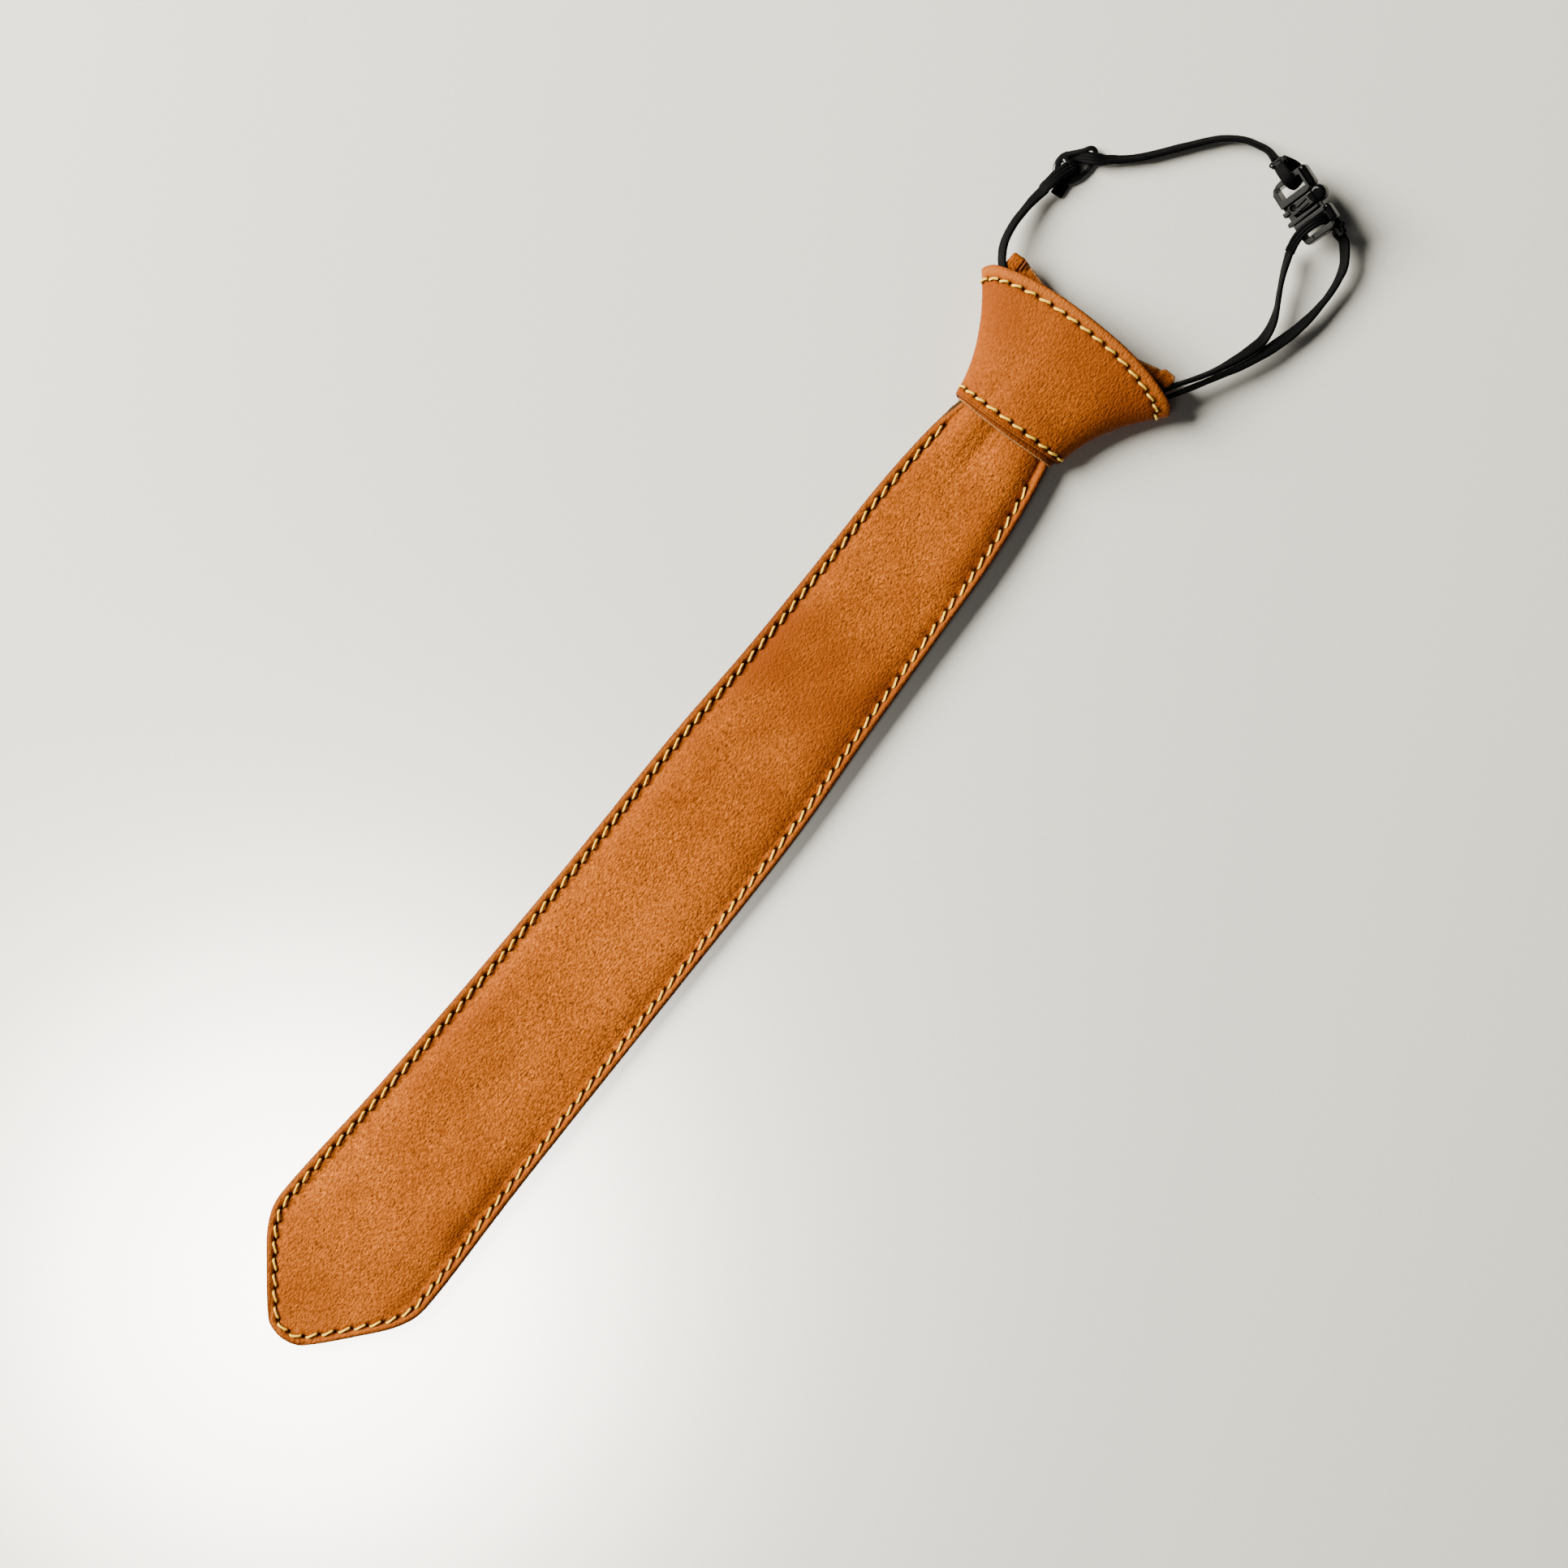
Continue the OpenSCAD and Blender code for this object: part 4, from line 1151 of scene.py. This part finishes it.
class Field:
    """A lattice of points over a box, in millimetres, for shapes given by their distance."""

    def __init__(self, low, high, step):
        self.low, self.step = np.array(low, float), step
        count = [int(round((h - l) / step)) + 1 for l, h in zip(low, high)]
        axes = [l + step * np.arange(c) for l, c in zip(low, count)]
        self.p = np.stack(np.meshgrid(*axes, indexing="ij"), axis=-1)

    def solid(self, q, r):
        """Distance to a solid from its per-direction distances, which are measured to r inside it."""
        return np.linalg.norm(np.maximum(q, 0), axis=-1) + np.minimum(q.max(-1), 0) - r

    def raised(self, flat, low, high, edge):
        """A flat shape, given by its distance, between two heights and with rounded edges."""
        tall = np.abs(self.p[..., 2] - (low + high) / 2) - (high - low) / 2 + edge
        return self.solid(np.stack(np.broadcast_arrays(flat + edge, tall), axis=-1), edge)

    def box(self, low, high, r):
        low, high = np.array(low, float), np.array(high, float)
        return self.solid(np.abs(self.p - (low + high) / 2) - (high - low) / 2 + r, r)

    def ball(self, centre, r):
        return np.linalg.norm(self.p - np.array(centre, float), axis=-1) - r

    def drum(self, centre, r, low, high, edge):
        """An upright cylinder with rounded edges."""
        flat = np.linalg.norm(self.p[..., :2] - np.array(centre, float), axis=-1) - r
        return self.raised(flat, low, high, edge)

    def plate(self, outline, low, high, edge):
        """A flat outline in the first two axes, raised from low to high with rounded edges."""
        at = self.p[:, :, 0, :2].reshape(-1, 2)
        ring = np.array(outline + outline[:1], float)
        far = distance_all(at, ring)
        inside = np.zeros(len(at), bool)
        for (ax, ay), (bx, by) in zip(ring[:-1], ring[1:]):
            crosses = (ay > at[:, 1]) != (by > at[:, 1])
            x = ax + (at[:, 1] - ay) * (bx - ax) / (by - ay if by != ay else 1e-9)
            inside ^= crosses & (at[:, 0] < x)
        flat = np.where(inside, -far, far).reshape(self.p.shape[:2])[:, :, None]
        return self.raised(flat, low, high, edge)

    def wire(self, line, r, squash=1.0):
        """A round or oval wire along a line of points."""
        scale = np.array([1, 1, squash])
        at = self.p.reshape(-1, 3) * scale
        fine, _ = spline(line, 0.35)
        fine = fine * scale
        best = np.full(len(at), 1e9)
        for a, b in zip(fine[:-1], fine[1:]):
            ab = b - a
            t = share(((at - a) @ ab) / (ab @ ab))
            np.minimum(best, np.linalg.norm(at - a - t[:, None] * ab, axis=1), out=best)
        return best.reshape(self.p.shape[:3]) - r

    def surface(self, distance):
        """The zero surface as points and quads that face outwards."""
        volume = openvdb.FloatGrid(background=1.0)
        volume.copyFromArray(np.clip(distance / self.step, -3, 3).astype(np.float32))
        points, quads = volume.convertToQuads(0.0)
        points = self.low + points * self.step
        a, b, c = (points[quads[:, k]] for k in range(3))
        if (np.cross(b - a, c - a) * a).sum() < 0:
            quads = quads[:, ::-1]
        return points, quads.tolist()


def join(*parts, soft=0.15):
    """Union with a small fillet where parts meet."""
    total = parts[0]
    for part in parts[1:]:
        h = share(0.5 + 0.5 * (part - total) / soft)
        total = mix(part, total, h) - soft * h * (1 - h)
    return total


def cut(body, *tools, soft=0.1):
    """Takes tools away from body and leaves slightly broken edges."""
    for tool in tools:
        h = share(0.5 - 0.5 * (body + tool) / soft)
        body = mix(body, -tool, h) + soft * h * (1 - h)
    return body


def vertex_normals(points, quads):
    q = np.array(quads)
    face = np.cross(points[q[:, 2]] - points[q[:, 0]], points[q[:, 3]] - points[q[:, 1]])
    total = np.zeros_like(points)
    for k in range(4):
        np.add.at(total, q[:, k], face)
    return unit(total)


# ---------------- the slider

SLIDER_AT = np.array([-27.4, 347.0 - LENGTH / 2, 0.0])
SLIDER_TURN = math.radians(66)
SLIDER_AXIS = np.array([math.cos(SLIDER_TURN), math.sin(SLIDER_TURN), 0.0])
SLIDER_SIDE = np.array([-math.sin(SLIDER_TURN), math.cos(SLIDER_TURN), 0.0])


def slider_point(p):
    p = np.asarray(p, float)
    up = np.array([0, 0, 1.0])
    return SLIDER_AT + p[..., :1] * SLIDER_AXIS + p[..., 1:2] * SLIDER_SIDE + p[..., 2:3] * up


# Wire centres, along the slider, across it, and up.
WIDE_RING = [
    (-0.4, 3.15, 1.25), (-1.5, 3.1, 1.3), (-3.1, 2.5, 1.45), (-4.5, 1.1, 1.55), (-4.95, -0.5, 1.35),
    (-4.4, -2.0, 1.1), (-2.9, -2.95, 0.95), (-1.2, -3.15, 0.9), (-0.2, -3.1, 0.9),
]
FAR_RING = [
    (-0.9, 3.15, 1.25), (0.6, 3.0, 1.35), (2.2, 2.5, 1.6), (3.8, 2.05, 1.8), (5.3, 1.9, 1.75),
    (6.15, 1.4, 1.45), (6.3, 0.5, 1.05), (5.6, -0.6, 0.8), (4.4, -1.45, 0.75), (3.1, -2.3, 0.75),
    (1.5, -2.95, 0.8), (-0.2, -3.1, 0.9),
]
SLIDER_BAR = [
    (-1.4, 3.1, 1.3), (-1.25, 1.6, 1.75), (-1.2, 0.0, 1.9), (-1.2, -1.6, 1.6), (-1.3, -3.0, 1.0),
]


def build_slider():
    field = Field((-6.6, -4.6, -0.1), (7.6, 4.8, 3.4), 0.11)
    wide = field.wire(WIDE_RING, 0.88, squash=1.45)
    far = field.wire(FAR_RING, 0.66, squash=1.15)
    bar = field.wire(SLIDER_BAR, 0.85, squash=1.5)
    points, quads = field.surface(join(wide, far, bar, soft=0.35))
    shell = Shell()
    shell.add(slider_point(points), quads)
    shell.build("slider_moulding", MATERIALS["gloss"], "slider", ["slider"])


# ---------------- the clip's two halves

CLIP_AT = np.array([23.1, 372.5 - LENGTH / 2, 6.4])


def clip_axes():
    yaw, rise, roll = math.radians(-20), math.radians(6), math.radians(30)
    a = np.array([math.cos(rise), 0, math.sin(rise)])
    b = np.array([-math.sin(rise) * math.sin(roll), math.cos(roll), math.sin(roll) * math.cos(rise)])
    n = np.cross(a, b)
    turn = np.array([[math.cos(yaw), -math.sin(yaw), 0], [math.sin(yaw), math.cos(yaw), 0], [0, 0, 1]])
    return turn @ a, turn @ b, turn @ n


CLIP_A, CLIP_B, CLIP_N = clip_axes()


def clip_point(p):
    p = np.asarray(p, float)
    return CLIP_AT + p[..., :1] * CLIP_A + p[..., 1:2] * CLIP_B + p[..., 2:3] * CLIP_N


def clip_half(name, node, body, field, distance, glossy):
    points, quads = field.surface(distance)
    normal = vertex_normals(points, quads)
    satin = ease((normal[:, 2] - 0.62) / 0.3) * ease((points[:, 2] - 0.6) / 0.3)
    satin = satin * (1 - glossy(points))
    shell = Shell()
    shell.add(clip_point(points), quads, satin=satin)
    shell.build(name, MATERIALS["clip"], body, [node])


def build_socket():
    f = Field((-9.5, -5.8, -2.9), (2.0, 8.3, 3.0), 0.11)
    outline = [
        (-8.5, 0.4), (-8.2, -1.8), (-7.4, -3.3), (-6.3, -4.1), (-2.15, -4.15), (-2.15, 5.3), (-8.3, 5.3),
        (-8.5, 4.9),
    ]
    frame_part = f.plate(outline, -2.1, 2.2, 0.35)
    arm = f.box((-8.7, 4.3, -2.1), (-2.9, 6.6, 1.6), 0.9)
    slot = f.plate([(-6.95, -2.7), (-6.95, 4.35), (-3.95, 4.35), (-3.95, -2.7)], -4, 4, 0.2)
    window = f.plate([(-9.5, 0.6), (-9.5, 3.2), (-6.5, 3.2), (-6.5, 0.6)], 1.6, 4, 0.2)
    part_mark = f.box((-7.3, -3.15, 1.95), (-7.1, -2.0, 3.0), 0.05)
    plate = f.plate([(-2.0, -2.6), (-2.0, 4.65), (0.9, 4.65), (0.9, -1.5), (0.75, -2.5)], -2.1, 2.15, 0.25)
    deck = f.box((-3.0, -4.0, -2.1), (0.9, 5.0, -1.2), 0.2)
    neck = f.box((-2.6, -2.6, -2.0), (-1.6, 4.6, 1.35), 0.1)
    boss = f.drum((-0.7, 5.5), 2.15, -2.0, 1.75, 1.1)
    tab = f.box((-1.5, -4.9, -1.9), (-0.2, -2.9, 1.4), 0.4)
    tab_link = f.box((-1.3, -4.0, -2.1), (-0.3, -2.3, -1.25), 0.1)
    cavity = f.box((-3.55, -4.3, -1.2), (1.5, 4.3, 1.2), 0.2)
    recess = f.ball((-1.0, -1.35, 2.1), 0.85)
    slit_a = f.plate([(-0.97, 2.7), (-0.77, 2.7), (-0.28, -0.4), (-0.5, -0.5)], 0.8, 3, 0.05)
    slit_b = f.plate([(0.3, 2.7), (0.5, 2.7), (0.98, -2.4), (0.72, -2.4)], 0.8, 3, 0.05)
    groove = f.box((-2.3, -4.6, 1.15), (-2.02, 4.6, 3), 0.02)
    body = cut(join(frame_part, arm), slot, window, part_mark)
    body = join(body, plate, deck, neck, tab, tab_link, soft=0.08)
    body = cut(body, cavity, recess, slit_a, slit_b, groove, soft=0.06)
    body = join(body, boss, soft=0.06)

    def glossy(p):
        on_boss = np.hypot(p[:, 0] + 0.7, p[:, 1] - 5.5) < 2.3
        on_arm = (p[:, 1] > 4.95) & (p[:, 0] < -2.2)
        return (on_boss | on_arm).astype(float)

    clip_half("socket_moulding", "clip_socket", "tie", f, body, glossy)


def build_plug():
    f = Field((-4.0, -5.8, -2.5), (9.2, 7.4, 3.0), 0.11)
    finger = f.plate([(1.3, -4.3), (1.5, -5.0), (2.35, -5.1), (2.65, -4.4), (2.3, 4.2), (1.6, 4.2)],
                     -1.6, 1.95, 0.28)
    shoulder = f.box((1.25, -4.0, -1.7), (3.9, 5.2, 0.9), 0.2)
    bar = f.plate([(2.75, -3.95), (3.95, -3.95), (3.95, 5.4), (2.75, 5.4)], -1.7, 2.1, 0.22)
    left = f.plate([(2.75, -4.1), (7.0, -4.0), (7.6, -2.9), (2.75, -3.0)], -1.7, 1.7, 0.25)
    right = f.box((2.6, 4.4, -1.9), (7.2, 6.5, 1.7), 0.85)
    end = f.plate([(6.95, -3.9), (7.9, -3.9), (8.6, -3.3), (8.65, 4.1), (8.3, 4.8), (6.95, 4.9)],
                  -1.5, 1.75, 0.35)
    notch = f.box((7.3, -1.2, 1.5), (8.3, -1.05, 3.0), 0.04)
    prongs = [f.box((-3.3, y - 0.95, -0.95), (1.6, y + 0.95, 0.95), 0.25) for y in (-3.1, 0.0, 3.1)]
    catch = f.ball((-2.4, 3.6, 0.0), 0.6)
    body = join(shoulder, finger, bar, left, right, end, *prongs, catch, soft=0.08)
    body = cut(body, notch, f.box((2.58, -5.0, 0.9), (2.73, 4.6, 3.0), 0.02), soft=0.05)
    clip_half("plug_moulding", "clip_plug", "plug", f, body, lambda p: (p[:, 1] > 4.85).astype(float))


# ---------------- the strap's stretches

def slider_row(a, b, z, angle):
    return (*(slider_point([a, b, z]) + TIP_TO_FRAME), angle)


def clip_row(a, b, n, angle):
    return (*(clip_point([a, b, n]) + TIP_TO_FRAME), angle)


LEFT_ROUTE = [
    (-12, 309.5, 6.1, 90), (-16, 309.6, 6.5, 90), (-20, 310.6, 7.2, 80), (-23, 313, 6.9, 50),
    (-25.2, 315.4, 6.2, 32), (-27.1, 317.6, 5.9, 26), (-28.95, 321, 5.3, 30), (-29.95, 326, 4.3, 30),
    (-30.03, 331, 3.3, 33), (-29.85, 334.5, 2.75, 44), (-29.45, 337.2, 2.85, 56),
    slider_row(-9.2, -1.65, 3.0, 57), slider_row(-7.2, -1.15, 3.25, 66), slider_row(-5.0, -0.5, 3.3, 80),
    slider_row(-3.0, -0.2, 3.25, 90), slider_row(-1.5, -0.1, 3.2, 90),
]
TOP_ROUTE = [
    slider_row(-1.5, 2.3, 0.75, 90), slider_row(0.3, 2.0, 0.7, 90), slider_row(1.6, 1.55, 0.9, 90),
    slider_row(2.9, 0.6, 1.7, 88), slider_row(4.3, -0.6, 2.5, 84), slider_row(5.7, -1.6, 2.75, 74),
    slider_row(7.3, -2.5, 2.5, 58), slider_row(9.05, -3.25, 2.2, 46), (-18.95, 355.4, 2.0, 40),
    (-15.93, 358.4, 1.9, 36), (-12.94, 362.15, 1.9, 34), (-9.95, 366.1, 1.9, 33),
    (-6.95, 369.98, 1.9, 31), (-3.96, 373.6, 2.1, 30), (-0.96, 376.07, 2.6, 31), (2.03, 377.7, 3.2, 33),
    (5.03, 378.4, 3.9, 34), (8.0, 378.7, 4.6, 38), clip_row(-12.9, 1.3, 1.0, 52),
]
INNER_ROUTE = [
    (12, 309.5, 6.1, 90), (16, 309.3, 6.5, 90), (19.4, 309.6, 7.0, 90), (22.0, 312.6, 6.7, 50),
    (24.0, 316.2, 6.3, 14), (25.7, 319.3, 6.1, 12), (28.6, 323.8, 5.6, 17), (30.95, 328.0, 5.1, 18),
    (33.07, 332.8, 4.6, 32), (34.73, 337.6, 4.2, 48), (35.55, 341.3, 3.9, 54), (35.3, 344.7, 3.8, 37),
    (34.55, 347.4, 3.8, 22), (33.4, 350.0, 3.9, 9), (31.7, 353.0, 4.1, 5), (29.6, 356.9, 4.8, 9),
    clip_row(7.0, -8.4, 0.9, 26),
]
OUTER_ROUTE = [
    clip_row(9.4, 5.4, -0.9, 50), (33.7, 373.6, 4.4, 40), (35.6, 373.2, 4.2, 38), (37.4, 371.7, 4.0, 36),
    (39.9, 368.2, 3.8, 30), (41.1, 364.0, 3.5, 20), (41.5, 360.2, 3.3, 17), (41.46, 357.6, 3.3, 21),
    (41.2, 353.3, 3.4, 33), (40.3, 347.8, 3.6, 52), (38.8, 342.5, 3.8, 62), (37.28, 337.6, 4.2, 40),
    (35.07, 332.4, 4.6, 28), (32.6, 327.7, 5.0, 20), (30.1, 323.1, 5.4, 19), (27.1, 317.7, 5.9, 14),
    (25.4, 315.0, 5.9, 8),
]
LEFT_FOLD = [
    (-1.5, -0.1, 3.2), (-0.5, -0.1, 3.1), (0.25, -0.2, 2.55), (0.4, -0.4, 1.75), (0.0, -0.7, 0.98),
    (-1.0, -1.1, 0.66), (-2.2, -1.6, 0.64), (-4.0, -2.5, 0.64), (-5.8, -3.5, 0.63), (-7.3, -4.35, 0.62),
]
PLUG_FOLD = [
    (7.0, -8.4, 0.9), (6.3, -6.4, 2.0), (5.75, -4.7, 2.75), (5.3, -3.0, 2.85), (5.05, -1.2, 2.7),
    (5.0, 0.6, 2.35), (5.1, 2.1, 1.6), (5.5, 3.2, 0.5), (6.3, 3.7, -0.7), (7.4, 4.3, -1.9),
    (8.5, 4.9, -1.6), (9.4, 5.4, -0.9),
]
END_LOOP = [
    (-12.9, 1.3, 1.0), (-11.6, 1.45, 2.0), (-10.2, 1.6, 2.85), (-8.5, 1.75, 3.15), (-7.0, 1.8, 2.95),
    (-5.9, 1.9, 2.0), (-5.45, 2.1, 0.6), (-5.6, 2.4, -1.0), (-6.5, 2.8, -2.4), (-8.2, 3.3, -2.8),
    (-9.8, 3.4, -1.7), (-11.2, 2.8, -0.4), (-12.4, 2.1, 0.4),
]


def fold_piece(name, body, to_frame, table, wide_at, **how):
    """A short tight bend that rides one body: wide_at gives the width's direction from 0 to 1 along it."""
    fold, _ = spline(table, 0.4)
    shell = Shell()
    ribbon(shell, to_frame(fold), wide=wide_at(np.linspace(0, 1, len(fold))[:, None]), **how)
    return shell.build(name, MATERIALS["elastic"], body)


def build_strap():
    fold = fold_piece("strap_left_fold", "slider", slider_point, LEFT_FOLD,
                      lambda t: SLIDER_SIDE * (1 - 0.13 * t) - SLIDER_AXIS * 0.5 * t, cut_end=True)
    cord_piece("strap_left_elastic", LEFT_ROUTE, "strap_left")

    loop = fold_piece("strap_end_loop", "tie", clip_point, END_LOOP,
                      lambda t: CLIP_B - CLIP_A * 0.25 + 0 * t)
    tack = build_clip_tack()
    cord_piece("strap_top_elastic", TOP_ROUTE, "strap_top")

    fold_piece("strap_loop_fold", "plug", clip_point, PLUG_FOLD, plug_wide, width=2.6)
    cord_piece("strap_loop_inner", INNER_ROUTE, "strap_loop")
    cord_piece("strap_loop_outer", OUTER_ROUTE[::-1], "strap_loop")


def plug_wide(t):
    return CLIP_A * (1 - 0.45 * t) + CLIP_N * (-0.35 + 0.5 * t) - CLIP_B * 0.5 * t


def build_clip_tack():
    """The binding at the strap's end: black thread wound over the two strands, drawn into a small knot."""
    shell = Shell()
    wound = np.linspace(0, 2 * math.pi * 5, 240)
    a = -12.9 + 1.5 * wound / wound[-1] + 0.12 * np.sin(wound * 2.3)
    centre = np.stack([a, 1.75 + 1.72 * np.cos(wound), 1.1 + 1.15 * np.sin(wound)], axis=1)
    turn = np.linspace(0, 2 * math.pi, 9)[:-1]
    ring = np.stack([0.21 * np.cos(turn), 0.21 * np.sin(turn)], axis=-1)[None]
    points, faces = tube(clip_point(centre), ring, CLIP_A)
    shell.add(points, faces)
    for k, (da, db, dn) in enumerate([(-12.6, 0.2, 1.9), (-11.8, 0.6, 2.4), (-12.3, 2.6, 2.3)]):
        swirl = np.linspace(0, 2 * math.pi * 1.6, 60)
        knot = np.stack([da + 0.5 * np.cos(swirl), db + 0.75 * np.sin(swirl + 0.4 * k),
                         dn + 0.25 * np.cos(1.5 * swirl + k)], axis=1)
        points, faces = tube(clip_point(knot), ring * 1.2, CLIP_N)
        shell.add(points, faces)
    return shell.build("clip_tack_thread", MATERIALS["black"], "tie", ["clip_tack"])


build_blade()
build_knot()
build_band()
build_slider()
build_socket()
build_plug()
build_strap()


# CAD nodes that stay in view and take a material from here.
KEPT_NODES = {
    "blade_interlining": "felt",
    "knot_former": "board",
    "collar_band_stitching": "sunk",
    "strap_anchor_tacks": "black",
}
for node, material in KEPT_NODES.items():
    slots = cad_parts[node].data.materials
    slots.clear()
    slots.append(MATERIALS[material])
